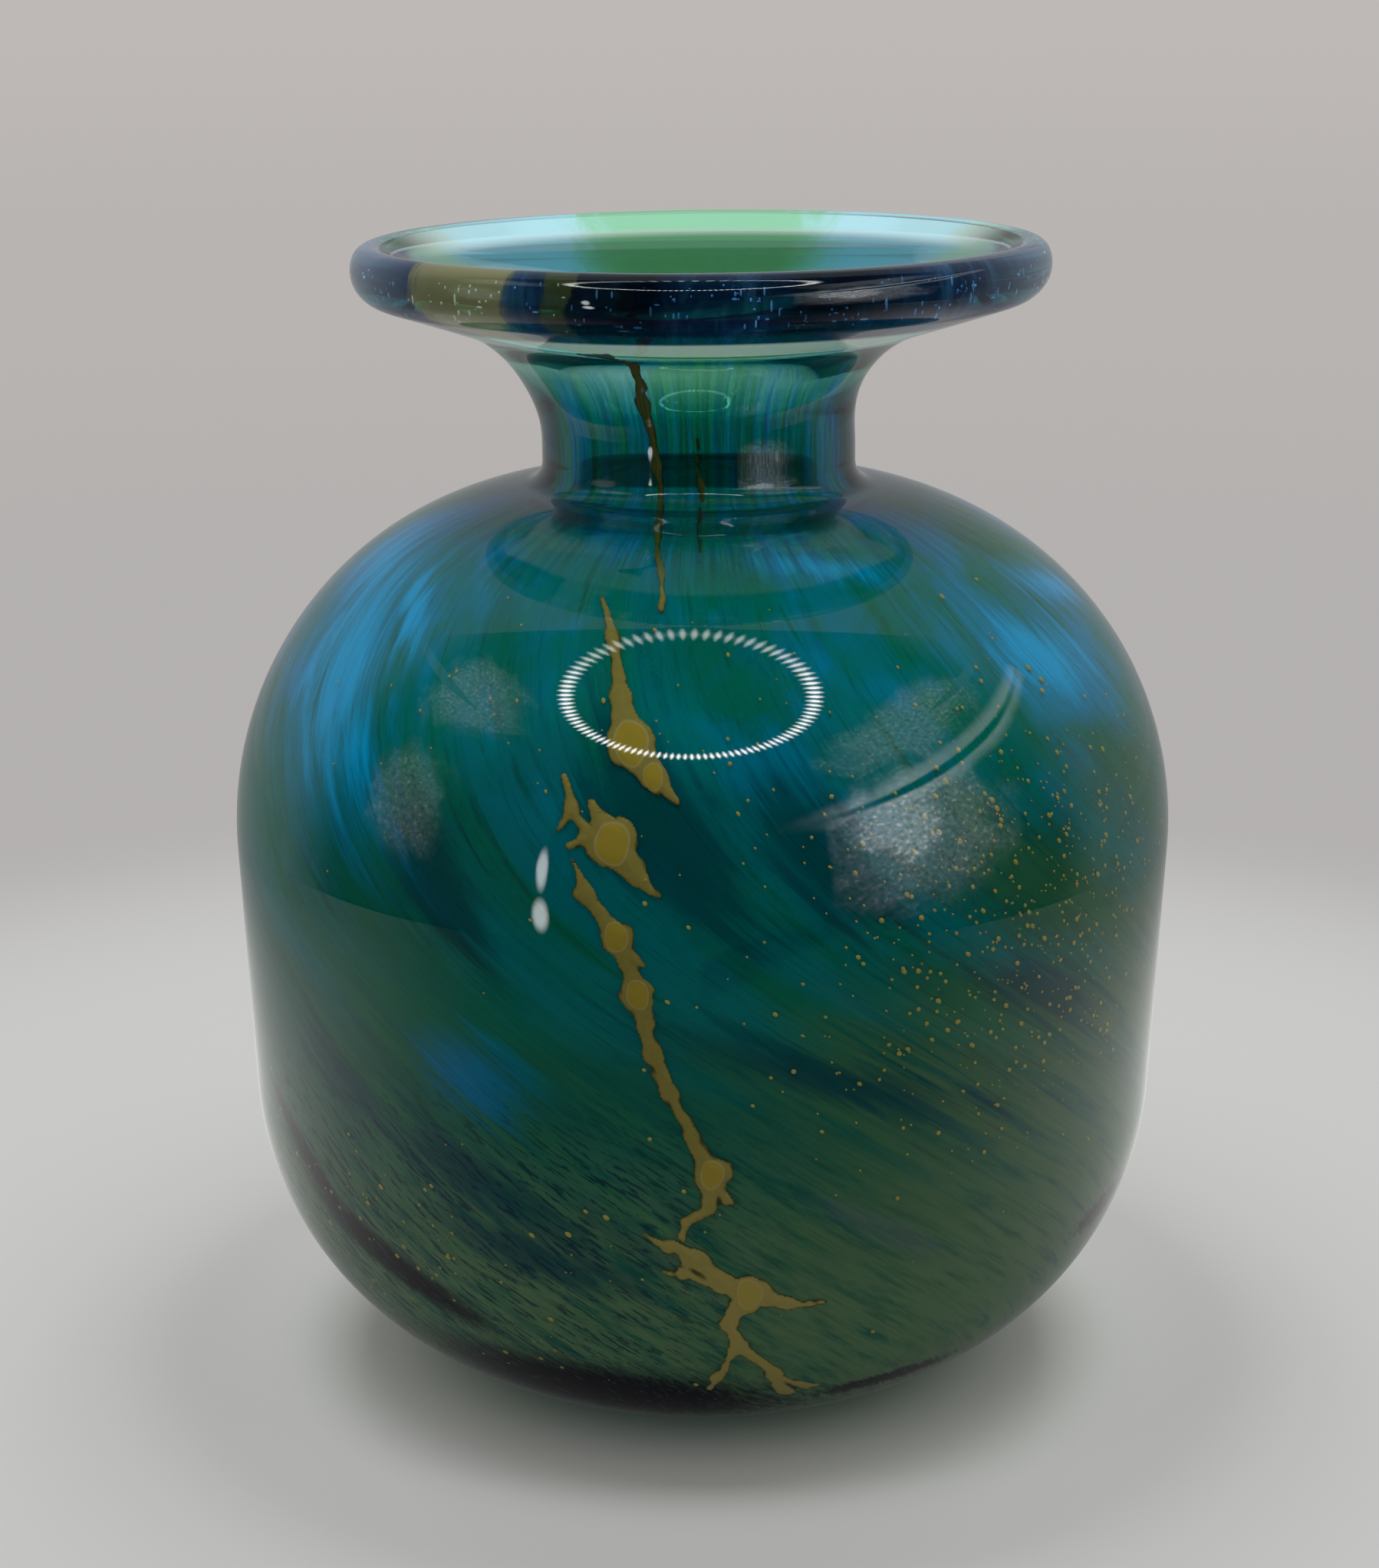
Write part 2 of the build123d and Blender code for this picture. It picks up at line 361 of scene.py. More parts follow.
def neck_tint(nodes, flat, away, height):
    """Mask of the neck, and its streaked blue green, darkened to navy where it is seen at a graze: painted
    shade in place of the dark edge that internal reflection gives the neck.
    """
    top = nodes.ramp(away, 0.5, 1.0, 141.5, 138.0)
    mask = nodes.times(nodes.ramp(height, 111.0, 116.0), nodes.ramp(height, top, 129.5))
    streaks = nodes.noise(nodes.vector("MULTIPLY", flat, (1.0, 0.06, 0.0)), 0.42, 3.0, 0.65)
    teal = nodes.blend(nodes.ramp(streaks, 0.42, 0.58), colour(0.12, 0.44, 0.58), colour(0.70, 0.95, 0.95))
    # Painted shade: where the neck is seen at a graze, above about 114 mm, its tint turns dark navy.
    facing = nodes.add("ShaderNodeLayerWeight", Blend=0.5).outputs["Facing"]
    graze_painted_shade = nodes.times(nodes.ramp(facing, 0.42, 0.66), nodes.ramp(height, 114.0, 119.0))
    return mask, nodes.blend(graze_painted_shade, teal, colour(0.10, 0.12, 0.26))


def lip_masks(nodes, height, radius):
    """Masks of the lip below the slope of the bowl and of the outer edge of that slope."""
    slope = math.tan(math.radians(BOWL_SLOPE))
    line = nodes.maths("MULTIPLY_ADD", radius, slope, CROWN_END[1] - CROWN_END[0] * slope)
    under = nodes.ramp(nodes.maths("SUBTRACT", line, height), 0.2, 0.9)
    raised = nodes.ramp(height, 137.0, 139.0)
    lip = nodes.times(under, nodes.ramp(radius, 36.6, 37.4), raised)
    return lip, nodes.times(nodes.rest(under), nodes.ramp(radius, 40.4, 41.4), raised)


def lip_place(nodes, flat):
    """Place for noise that is drawn out up and across the lip."""
    return nodes.vector("MULTIPLY", flat, (1.0, 0.35, 0.35))


def lip_wisps(nodes, flat):
    """Fine noise that frays the colours of the lip and of the bowl."""
    return nodes.noise(lip_place(nodes, flat), 0.22, 4.0, 0.65, 0.6)


def lip_front(nodes, flat, azimuth, away, wisps):
    """Cobalt of the lip: nearly black right of the middle of the front and paler at the sides."""
    navy = nodes.blend(nodes.ramp(wisps, 0.45, 0.70), colour(0.008, 0.05, 0.17), colour(0.06, 0.24, 0.55))
    clouds = nodes.noise(lip_place(nodes, flat), 0.045, 2.0, 0.5)
    black = nodes.times(nodes.ramp(clouds, 0.42, 0.56), nodes.ramp(azimuth, 1.0, 0.3))
    black = nodes.times(black, nodes.ramp(azimuth, -0.6, -0.3, 0.0, 0.85))
    navy = nodes.blend(black, navy, colour(0.001, 0.003, 0.012))
    return nodes.blend(nodes.ramp(away, 0.8, 1.4), navy, colour(0.26, 0.40, 0.62))


def lip_window(nodes, azimuth, height, wisps, most=1.0):
    """Mask of the ochre window of the lip, narrower towards its foot."""
    beside = nodes.frayed(nodes.maths("ABSOLUTE", nodes.maths("ADD", azimuth, WINDOW_AT)), wisps, 0.20)
    beside = nodes.maths("ADD", beside, nodes.ramp(height, 146.0, 139.5, -0.03, 0.06))
    return nodes.ramp(beside, 0.17, 0.13, 0.0, most)


def lip_strand(nodes, azimuth, wisps):
    """Mask of the olive strand right of the window."""
    beside = nodes.frayed(nodes.maths("ABSOLUTE", nodes.maths("ADD", azimuth, 0.40)), wisps, 0.25)
    return nodes.ramp(beside, 0.05, 0.02, 0.0, 0.7)


def casing_colour(nodes):
    """Tint of the casing, clear on the body, blue green in the neck, cobalt in the lip, and its clearness."""
    flat, azimuth, height, radius = flat_place(nodes)
    away = nodes.maths("ABSOLUTE", azimuth)
    wisps = lip_wisps(nodes, flat)
    lip, top = lip_masks(nodes, height, radius)
    behind = nodes.ramp(away, 1.6, 2.1)
    rim_bowl = nodes.blend(0.90, colour(1.0, 1.0, 1.0), bowl_colour(nodes, azimuth, wisps))
    rim_bowl = nodes.vector("MULTIPLY", rim_bowl, rim_bowl)

    neck, teal = neck_tint(nodes, flat, away, height)
    tint = nodes.blend(neck, CLEAR, teal)
    tint = nodes.blend(top, tint, nodes.blend(behind, colour(0.45, 0.62, 0.80), rim_bowl))
    navy = lip_front(nodes, flat, azimuth, away, wisps)
    navy = nodes.blend(lip_window(nodes, azimuth, height, wisps), navy, colour(0.42, 0.42, 0.20))
    navy = nodes.blend(lip_strand(nodes, azimuth, wisps), navy, colour(0.20, 0.24, 0.06))
    tint = nodes.blend(lip, tint, nodes.blend(behind, navy, rim_bowl))

    cloudy = nodes.times(nodes.ramp(away, 0.2, 1.2, 0.14, 0.30), nodes.rest(behind))
    cloudy = nodes.most(cloudy, lip_window(nodes, azimuth, height, wisps, 0.30))
    haze = nodes.most(nodes.times(lip, cloudy), nodes.times(top, nodes.ramp(away, 1.6, 2.1, 0.12, 0.65)))
    return tint, nodes.rest(haze)


def gather_colour(nodes):
    """Tint of the gather, clear but for the cloudy back of the bowl near the rim, and its clearness."""
    flat, azimuth, height, radius = flat_place(nodes)
    behind = nodes.ramp(nodes.maths("ABSOLUTE", azimuth), 1.7, 2.2)
    cloudy = nodes.times(behind, nodes.ramp(radius, 35.0, 38.0))
    cloudy = nodes.times(cloudy, nodes.ramp(height, 132.0, 136.0))
    tint = nodes.blend(cloudy, CLEAR, bowl_colour(nodes, azimuth, lip_wisps(nodes, flat)))
    return tint, nodes.rest(nodes.times(cloudy, 0.55))


def glass_skin(name, make_colour, lamp_tint):
    """Polished glass against air."""
    nodes = Nodes(name)
    tint, clearness = make_colour(nodes)
    shader = nodes.add(
        "ShaderNodeBsdfPrincipled",
        Base_Color=tint,
        Roughness=0.0,
        IOR=1.5,
        Transmission_Weight=clearness,
    ).outputs[0]
    return nodes.finish(clear_to_lamps(nodes, shader, lamp_tint))


def fused_face():
    """Face where two gathers are fused: nothing shows there."""
    nodes = Nodes("fused_glass")
    return nodes.finish(nodes.add("ShaderNodeBsdfTransparent", Color=colour(1, 1, 1)).outputs[0])


# The glass was turned as it was drawn down, so streaks run further round the lower they are. The turn grows
# with the square of the drop at first, and evenly from TWIST_REACH millimetres down.
TWIST, TWIST_TOP, TWIST_REACH = 0.00022, 120.0, 55.0
MIDDLE_HEIGHT, MIDDLE_RADIUS = 62.0, 58.0


def flat_place(nodes):
    """Azimuth run in mm, height and distance from the axis, all as drawn; also the azimuth in radians."""
    place = nodes.add("ShaderNodeTexCoord").outputs["Object"]
    drawn = nodes.add("ShaderNodeVectorMath", {"operation": "SCALE"}, i0=place, Scale=1 / MM).outputs[0]
    parts = nodes.add("ShaderNodeSeparateXYZ", Vector=drawn).outputs
    azimuth = nodes.maths("ARCTAN2", parts["X"], nodes.times(parts["Y"], -1.0))
    radius = nodes.vector("LENGTH", nodes.vector("MULTIPLY", drawn, (1, 1, 0)))
    run = nodes.times(azimuth, MIDDLE_RADIUS)
    flat = nodes.add("ShaderNodeCombineXYZ", X=run, Y=parts["Z"], Z=radius).outputs[0]
    return flat, azimuth, parts["Z"], radius


def swirled(nodes, azimuth, height, radius):
    """Place with the twist undone: X and Y go round the vase and Z runs along its meridian."""
    below = nodes.maths("MAXIMUM", nodes.maths("SUBTRACT", TWIST_TOP, height), 0.0)
    eased = nodes.maths("MINIMUM", below, TWIST_REACH)
    steady = nodes.maths("SUBTRACT", nodes.times(below, 2.0), eased)
    turned = nodes.maths("MULTIPLY_ADD", nodes.times(eased, steady), -TWIST, azimuth)
    meridian = nodes.maths("ARCTAN2", nodes.maths("SUBTRACT", height, MIDDLE_HEIGHT), radius)
    return nodes.add(
        "ShaderNodeCombineXYZ",
        X=nodes.times(nodes.maths("COSINE", turned), MIDDLE_RADIUS),
        Y=nodes.times(nodes.maths("SINE", turned), MIDDLE_RADIUS),
        Z=nodes.times(meridian, MIDDLE_RADIUS),
    ).outputs[0]


def spot(nodes, flat, wisps, run, height, half_length, half_width, tilt, fray=0.9, softness=0.38):
    """Mask of an oval patch with edges frayed by wisps: 1 at its middle and 0 outside."""
    local = nodes.add(
        "ShaderNodeMapping",
        {"vector_type": "TEXTURE"},
        Vector=nodes.vector("MULTIPLY", flat, (1, 1, 0)),
        Location=(run, height, 0.0),
        Rotation=(0.0, 0.0, math.radians(tilt)),
        Scale=(half_length, half_width, 1.0),
    ).outputs[0]
    away = nodes.vector("LENGTH", local)
    return nodes.ramp(nodes.frayed(away, wisps, fray * 2), 0.92 + softness, 0.92 - softness)


def patches(nodes, flat, wisps, table, fray=0.9, softness=0.38):
    """Union of oval patches given by azimuth, height, half length, half width and tilt."""
    mask = 0.0
    for azimuth, height, half_length, half_width, tilt in table:
        run = math.radians(azimuth) * MIDDLE_RADIUS
        one = spot(nodes, flat, wisps, run, height, half_length, half_width, tilt, fray, softness)
        mask = nodes.most(mask, one)
    return mask


# Patches of colour: azimuth, height, half length, half width and tilt.
AZURE = (
    (-60, 100, 18, 9.0, -42),
    (-52, 107, 9, 2.2, -28),
    (-72, 109, 12, 5.0, -24),
    (-48, 92, 9, 4.0, -52),
    (57, 101, 14, 5.0, -12),
    (76, 106, 10, 2.6, -10),
    (24, 113, 12, 1.2, -4),
    (-27, 56.5, 6.5, 4.0, -14),
    (165, 88, 12, 5.0, -35),
    (118, 70, 14, 4.0, -40),
    (-125, 98, 14, 5.0, -40),
)
NAVY = (
    (-4, 87, 13, 6.0, -50),
    (14, 84, 10, 5.0, -50),
    (-33, 82, 10, 5.0, -60),
    (44, 64, 13, 3.4, -24),
    (14, 58, 22, 3.0, -20),
    (-48, 52, 9, 3.4, -32),
    (-28, 43, 17, 3.4, -22),
    (-20, 34, 12, 2.6, -14),
    (-140, 60, 22, 5.0, -30),
    (140, 52, 18, 4.0, -30),
)
GREEN = (
    (-36, 69, 20, 7.0, -34),
    (40, 80, 17, 6.5, -26),
    (66, 88, 15, 4.0, -16),
    (72, 112, 10, 2.0, -8),
    (4, 103, 12, 4.0, -20),
    (-30, 104, 10, 3.0, -46),
    (-62, 104, 14, 1.4, -44),
    (-110, 92, 18, 5.0, -40),
    (105, 95, 16, 5.0, -30),
)
OLIVE = (
    (46, 76, 17, 6.5, -30),
    (64, 84, 16, 6.0, -26),
    (30, 66, 12, 4.0, -30),
    (78, 70, 14, 6.0, -24),
)
COBALT = (
    (-58, 37.5, 12, 1.7, -34),
    (-44, 28.5, 17, 2.6, -24),
    (-15, 12.8, 32, 5.6, -4),
    (64, 29.0, 8, 2.0, 8),
    (30, 12.5, 14, 1.5, 4),
    (172, 34.0, 18, 2.4, -22),
    (-150, 14.0, 26, 3.0, -4),
)
LILAC = ((22, 37.5, 9, 1.7, -30),)


# Noise in the colour layer: stretch along the meridian, scale, detail, roughness and distortion.
NOISES = {
    "broad": (0.30, 0.07, 3.0, 0.55, 0.4),
    "streaks": (0.18, 0.30, 5.0, 0.66, 0.5),
    "lines": (0.06, 1.7, 3.0, 0.6),
    "strands": (0.12, 0.55, 3.0, 0.6, 0.3),
    "clouds": (1.0, 0.055, 3.0, 0.55),
    "mottle": (0.5, 0.42, 4.0, 0.62),
    "specks": (0.45, 1.3, 3.0, 0.6),
}


class Coat(Nodes):
    """Nodes of the colour layer, with its places, its noises and the masks that its colours share."""

    def __init__(self):
        super().__init__("swirled_colour")
        self.flat, self.azimuth, self.height, self.radius = flat_place(self)
        swirl = swirled(self, self.azimuth, self.height, self.radius)
        self.noises = {}
        for name, (stretch, *settings) in NOISES.items():
            place = self.vector("MULTIPLY", swirl, (1.0, 1.0, stretch))
            self.noises[name] = self.noise(place, *settings)
        self.azure = self.streaked(AZURE, 1.5, 0.9)
        self.navy = self.streaked(NAVY, 1.6, 0.6)
        self.green = self.streaked(GREEN, 1.6, 0.6)
        self.cobalt = patches(self, self.flat, self.noises["specks"], COBALT, 0.9)
        self.low = self.ramp(self.frayed(self.height, self.noises["clouds"], 40.0), 80.0, 58.0)
        self.sky = self.times(self.noisy("clouds", 0.50, 0.64), self.ramp(self.height, 78.0, 98.0))
        dark_lines = self.noisy("lines", 0.52, 0.72, 0.28)
        self.darker = self.most(dark_lines, self.noisy("strands", 0.56, 0.74, 0.18))

    def noisy(self, name, low, high, most=1.0):
        """One of the noises carried from low..high to 0..most."""
        return self.ramp(self.noises[name], low, high, 0.0, most)

    def streaked(self, table, fray=0.9, softness=0.38):
        """Patches frayed by the streaks."""
        return patches(self, self.flat, self.noises["streaks"], table, fray, softness)

    def upper_powder(self):
        """Blue and sea green powder of the shoulder."""
        tone = self.blend(self.noisy("broad", 0.42, 0.60), colour(0.0, 0.27, 0.33), colour(0.0, 0.23, 0.165))
        tone = self.blend(self.sky, tone, colour(0.0, 0.33, 0.55))
        return self.blend(self.noisy("streaks", 0.55, 0.70, 0.7), tone, colour(0.0, 0.13, 0.085))

    def lower_powder(self):
        """Green and olive powder of the lower body, most olive at the right."""
        dark, light = colour(0.001, 0.100, 0.085), colour(0.014, 0.140, 0.075)
        tone = self.blend(self.noisy("streaks", 0.36, 0.62), dark, light)
        tone = self.blend(self.noisy("broad", 0.58, 0.42), tone, colour(0.008, 0.115, 0.080))
        tone = self.blend(self.noisy("mottle", 0.52, 0.72, 0.40), tone, colour(0.001, 0.05, 0.055))
        olive = self.times(self.ramp(self.azimuth, -0.1, 0.7, 0.0, 0.8), self.noisy("streaks", 0.36, 0.60))
        return self.blend(olive, tone, colour(0.080, 0.155, 0.070))

    def powder(self):
        """Colour of the powder on the body."""
        tone = self.blend(self.low, self.upper_powder(), self.lower_powder())
        tone = self.blend(self.times(self.green, 0.75), tone, colour(0.002, 0.15, 0.075))
        dusty = self.times(self.ramp(self.height, 56.0, 26.0), self.noisy("mottle", 0.74, 0.42))
        tone = self.blend(dusty, tone, colour(0.105, 0.190, 0.095))
        tone = self.blend(self.times(self.streaked(OLIVE, 1.6, 0.7), 0.75), tone, colour(0.040, 0.17, 0.055))
        tone = self.blend(self.times(self.navy, 0.75), tone, colour(0.001, 0.045, 0.07))
        chip = self.blend(self.low, colour(0.0, 0.42, 0.86), colour(0.0, 0.18, 0.38))
        tone = self.blend(self.times(self.azure, 0.9), tone, chip)
        tone = self.blend(self.times(self.streaked(LILAC), 0.4), tone, colour(0.10, 0.14, 0.16))
        tone = self.blend(self.darker, tone, colour(0.001, 0.04, 0.03))
        fleck = self.times(self.noisy("specks", 0.53, 0.60), self.ramp(self.height, 60.0, 44.0, 0.0, 0.75))
        fleck = self.times(fleck, self.ramp(self.azimuth, 0.3, -0.2))
        tone = self.blend(fleck, tone, colour(0.001, 0.02, 0.045))
        black, dust = colour(0.001, 0.001, 0.006), colour(0.05, 0.08, 0.12)
        return self.blend(self.cobalt, tone, self.blend(self.noisy("specks", 0.40, 0.34, 0.5), black, dust))

    def tint(self):
        """Colour that the layer gives to the light through it on the body."""
        teal, green = colour(0.006, 0.44, 0.52), colour(0.04, 0.46, 0.24)
        tone = self.blend(self.noisy("streaks", 0.40, 0.62), teal, green)
        tone = self.blend(self.sky, tone, colour(0.01, 0.46, 0.72))
        tone = self.blend(self.times(self.azure, 0.9), tone, colour(0.02, 0.55, 0.9))
        tone = self.blend(self.times(self.navy, 0.8), tone, colour(0.004, 0.16, 0.28))
        tone = self.blend(self.darker, tone, colour(0.01, 0.14, 0.10))
        return self.blend(self.cobalt, tone, colour(0.002, 0.002, 0.02))

    def density(self):
        """Share of the powder that hides what is behind, least in the neck."""
        share = self.maths("MULTIPLY_ADD", self.low, 0.50, 0.44)
        for patch, least in ((self.azure, 0.85), (self.green, 0.6), (self.navy, 0.6), (self.cobalt, 1.0)):
            share = self.most(share, self.times(patch, least))
        return self.times(share, self.ramp(self.height, 119.0, 112.0, 0.15, 1.0))

    def band_masks(self, bowl):
        """Masks of the cobalt band inside the lip and of the ochre window in it."""
        start = self.ramp(self.maths("ABSOLUTE", self.azimuth), 1.1, 2.0, 33.5, 41.5)
        band = self.times(self.ramp(self.maths("SUBTRACT", self.radius, start), -0.6, 1.4), bowl)
        beside = self.maths("ABSOLUTE", self.maths("ADD", self.azimuth, WINDOW_AT))
        return band, self.times(band, self.ramp(beside, 0.18, 0.13))


def coat_material():
    """Colour layer: powders swirled in clear teal glass, clearer in the neck and denser towards the foot."""
    coat = Coat()
    # The bowl is paler, aqua at both sides of the back, and a cobalt band runs round inside the lip.
    bowl = coat.ramp(coat.height, 129.0, 139.0)
    band, window = coat.band_masks(bowl)
    tint = coat.blend(bowl, coat.tint(), bowl_colour(coat, coat.azimuth, coat.noises["streaks"]))
    cobalt = coat.blend(coat.noises["specks"], colour(0.004, 0.02, 0.10), colour(0.02, 0.10, 0.28))
    tint = coat.blend(band, tint, cobalt)
    tint = coat.blend(window, tint, colour(0.60, 0.62, 0.40))
    powder = coat.blend(band, coat.powder(), colour(0.003, 0.015, 0.07))
    powder = coat.blend(window, powder, colour(0.22, 0.21, 0.11))
    dense = coat.times(coat.density(), coat.ramp(coat.height, 130.0, 140.0, 1.0, 0.12))
    dense = coat.most(dense, coat.times(band, 0.5))
    through = coat.add("ShaderNodeBsdfTransparent", Color=tint).outputs[0]
    return coat.finish(coat.mix(dense, through, coat.powdered(powder, 0.35)))


skin = glass_skin("casing_glass", casing_colour, CLEAR)
bore = glass_skin("gather_glass", gather_colour, colour(0.40, 0.70, 0.66))
fused = fused_face()
coat = coat_material()

skin_points = outer_skin()
layer_top = (LAYER_END + GAP, bowl_height(LAYER_END + GAP))
coat_outer = layer_boundary(COAT_DEPTH + GAP, COAT_FLOOR + GAP, LAYER_END)
coat_inner = layer_boundary(GATHER_DEPTH - GAP, GATHER_FLOOR - GAP, LAYER_END)
casing_inner = layer_boundary(COAT_DEPTH, COAT_FLOOR, LAYER_END + GAP)
gather_outer = layer_boundary(GATHER_DEPTH, GATHER_FLOOR, LAYER_END)
cavity_points = cavity_skin()

casing = revolved(
    "clear_casing_glass",
    (
        (skin_points + [layer_top], skin),
        ([layer_top] + casing_inner[::-1], fused),
    ),
)
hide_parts("clear_casing")

trail_nodes = [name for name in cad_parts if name.startswith("ochre")]
coat_layer = revolved("swirled_coat", ((coat_outer, coat), ([coat_outer[-1]] + coat_inner[::-1], fused)))
embedded = [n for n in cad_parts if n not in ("clear_casing", "inner_gather", *trail_nodes)]
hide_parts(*embedded)

gather = revolved(
    "inner_gather_glass",
    ((gather_outer, fused), ([gather_outer[-1]] + cavity_points[::-1], bore)),
)
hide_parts("inner_gather")


# Ochre trail: chains of beads drawn on the coat, as (across, height, radius) seen from the front.
TRAILS = {
    "ochre_neck_thread": (
        (
            (-15.0, 138.6, 0.25),
            (-11.0, 138.0, 0.35),
            (-7.2, 136.6, 0.5),
            (-6.0, 131, 0.9),
            (-5.2, 124, 0.5),
            (-4.3, 115.5, 0.5),
            (-4.6, 112, 0.3),
        ),
        ((-0.2, 127, 0.15), (-0.1, 122, 0.3), (0.2, 117, 0.2)),
    ),
    "ochre_trail_shoulder": (
        (
            (-11.4, 113, 0.5),
            (-10.6, 109, 0.9),
            (-9.9, 103, 1.2),
            (-8.4, 98, 2.7),
            (-5.8, 94.6, 1.6),
            (-3.0, 92.4, 0.4),
        ),
    ),
    "ochre_trail_middle": (
        ((-13, 91.6, 0.5), (-10.8, 87.2, 2.8), (-8.2, 84.0, 1.3), (-5.4, 81.6, 0.3)),
        ((-16.2, 94.5, 0.3), (-15.6, 90.6, 0.7), (-13.2, 88.0, 1.0), (-15.4, 86.6, 0.4)),
        ((-15.6, 90.6, 0.5), (-17.0, 88.6, 0.2)),
    ),
    "ochre_trail_chain": (
        (
            (-15.6, 85.0, 0.2),
            (-14, 81.2, 1.2),
            (-12, 78.6, 0.8),
            (-10.3, 75.8, 2.0),
            (-9.0, 72.6, 0.9),
            (-7.7, 69, 2.0),
            (-6.7, 65, 0.9),
            (-5.9, 61.6, 1.3),
            (-3.9, 56.8, 0.7),
            (-1.2, 51.4, 0.9),
            (1.2, 46.4, 2.2),
            (0.6, 42.4, 0.9),
            (-1.6, 40.2, 0.5),
            (-2.6, 38.0, 0.6),
        ),
        ((-10.3, 75.8, 1.0), (-8.2, 73.4, 0.6), (-6.8, 73.0, 0.2)),
        ((1.2, 45.4, 1.0), (2.8, 43.2, 0.5), (3.8, 42.6, 0.15)),
    ),
    "ochre_trail_foot": (
        (
            (-3, 36.6, 0.6),
            (-1, 34.8, 1.4),
            (2.2, 31.8, 1.1),
            (5.8, 29.8, 2.4),
            (3, 25.6, 0.9),
            (4.4, 21.4, 1.1),
            (8.6, 15.6, 0.9),
            (10.4, 11.8, 1.2),
        ),
        ((-7.2, 38.6, 0.2), (-4.0, 36.8, 0.6), (-1, 34.8, 1.0)),
        ((-5.4, 33.6, 0.2), (-2.0, 32.6, 0.5), (2.2, 31.2, 0.8)),
        ((5.8, 29.6, 1.8), (10.4, 28.2, 0.9), (15.2, 27.6, 0.2)),
        ((4.4, 21.4, 0.6), (2.0, 15.6, 0.7), (0.8, 12.6, 0.3)),
        ((8.6, 15.6, 0.6), (13.0, 12.6, 0.7), (15.2, 12.6, 0.2)),
    ),
}
# Grid step of a trail, depth of its inner face, its greatest thickness and the space kept round its beads.
TRAIL_STEP, TRAIL_FOOT, TRAIL_THICKNESS, TRAIL_MARGIN = 0.22, 2.55, 0.45, 3.0
# How far the links sway and over what length, and the same for the fray of the edge.
SWAY, SWAY_LENGTH = 0.7, 2.6
FRAY, FRAY_LENGTH = 0.32, 0.8
# Rounding between links, and the smallest bead that shows a core.
JOIN_ROUNDING, CORED_BEAD = 0.9, 1.4


def link_distance(across, height, start, end):
    """Distance from grid points to one link of a chain, less the link's own radius there."""
    ax, ay, ar = start
    bx, by, br = end
    length = (bx - ax) ** 2 + (by - ay) ** 2
    share = np.clip(((across - ax) * (bx - ax) + (height - ay) * (by - ay)) / length, 0.0, 1.0)
    waist = ar + (br - ar) * share - 0.22 * min(ar, br) * np.sin(math.pi * share)
    return np.hypot(across - ax - share * (bx - ax), height - ay - share * (by - ay)) - waist


def smooth_least(a, b, reach):
    """Least of two fields with the corner between them rounded."""
    h = np.clip(0.5 + 0.5 * (b - a) / reach, 0.0, 1.0)
    return b + (a - b) * h - reach * h * (1 - h)


def ripple(across, height, size, seed):
    """Smooth random field on the grid, drawn out along the swirl."""
    along, beside = across * 0.6 - height * 0.8, across * 0.8 + height * 0.6
    return np.vectorize(lambda u, v: noise.noise(Vector((u / size / 2.4, v / size, seed))))(along, beside)


def closed_cells(inside):
    """Fill cells until no two filled cells touch only at a corner."""
    cells = inside[:-1, :-1] & inside[1:, :-1] & inside[:-1, 1:] & inside[1:, 1:]
    while True:
        a, b, c, d = cells[:-1, :-1], cells[1:, 1:], cells[1:, :-1], cells[:-1, 1:]
        falling, rising = a & b & ~c & ~d, c & d & ~a & ~b
        if not (falling.any() or rising.any()):
            return cells
        cells[1:, :-1] |= falling
        cells[:-1, :-1] |= rising


wall_section = wall(0.0, 0.0)
wall_section += slope_line(wall_section[-1], (NECK_RADIUS, FLARE_CENTRE[1]))
wall_section += arc(FLARE_CENTRE, FLARE_RADIUS, 180, -FLARE_SWEEP)[1:]
upward = [p for p in wall_section if p[0] > 20]
SECTION_Z = [p[1] for p in upward]
SECTION_R = [p[0] for p in upward]


def in_wall(azimuth, height, depth):
    """Point at a depth in the wall, at an azimuth in radians and a drawn height on the skin."""
    radius = np.interp(height, SECTION_Z, SECTION_R)
    slope = np.interp(height + 0.5, SECTION_Z, SECTION_R) - np.interp(height - 0.5, SECTION_Z, SECTION_R)
    lean = math.hypot(1.0, slope)
    inner = radius - depth / lean + thinning(height)
    return drifted(inner * math.sin(azimuth), -inner * math.cos(azimuth), height + depth * slope / lean)


def trail_grid(beads):
    """Grid of places, across and up, with a margin round all the beads."""
    spans = []
    for axis in (0, 1):
        low = min(bead[axis] - bead[2] for bead in beads) - TRAIL_MARGIN
        high = max(bead[axis] + bead[2] for bead in beads) + TRAIL_MARGIN
        spans.append(np.arange(low, high, TRAIL_STEP))
    return np.meshgrid(*spans, indexing="ij")


def trail_fields(x, z, chains, seed):
    """Distance to the frayed edge of the chains, less than 0 inside, and nearness to a big bead's middle."""
    swayed_x = x + SWAY * ripple(x, z, SWAY_LENGTH, seed)
    swayed_z = z + SWAY * ripple(x, z, SWAY_LENGTH, seed + 9)
    field = np.full(x.shape, 9.0)
    core = np.zeros(x.shape)
    for chain in chains:
        for start, end in zip(chain, chain[1:]):
            field = smooth_least(field, link_distance(swayed_x, swayed_z, start, end), JOIN_ROUNDING)
        for across, height, radius in chain:
            if radius > CORED_BEAD:
                reach = np.hypot(swayed_x - across, (swayed_z - height) * 0.8)
                core = np.maximum(core, 1 - reach / radius)
    return field + FRAY * ripple(x, z, FRAY_LENGTH, seed + 20), core


def filled_corners(cells, shape):
    """How many filled cells meet at each place of the grid."""
    count = np.zeros(shape, int)
    for di in (0, 1):
        for dj in (0, 1):
            count[di : di + cells.shape[0], dj : dj + cells.shape[1]] += cells
    return count


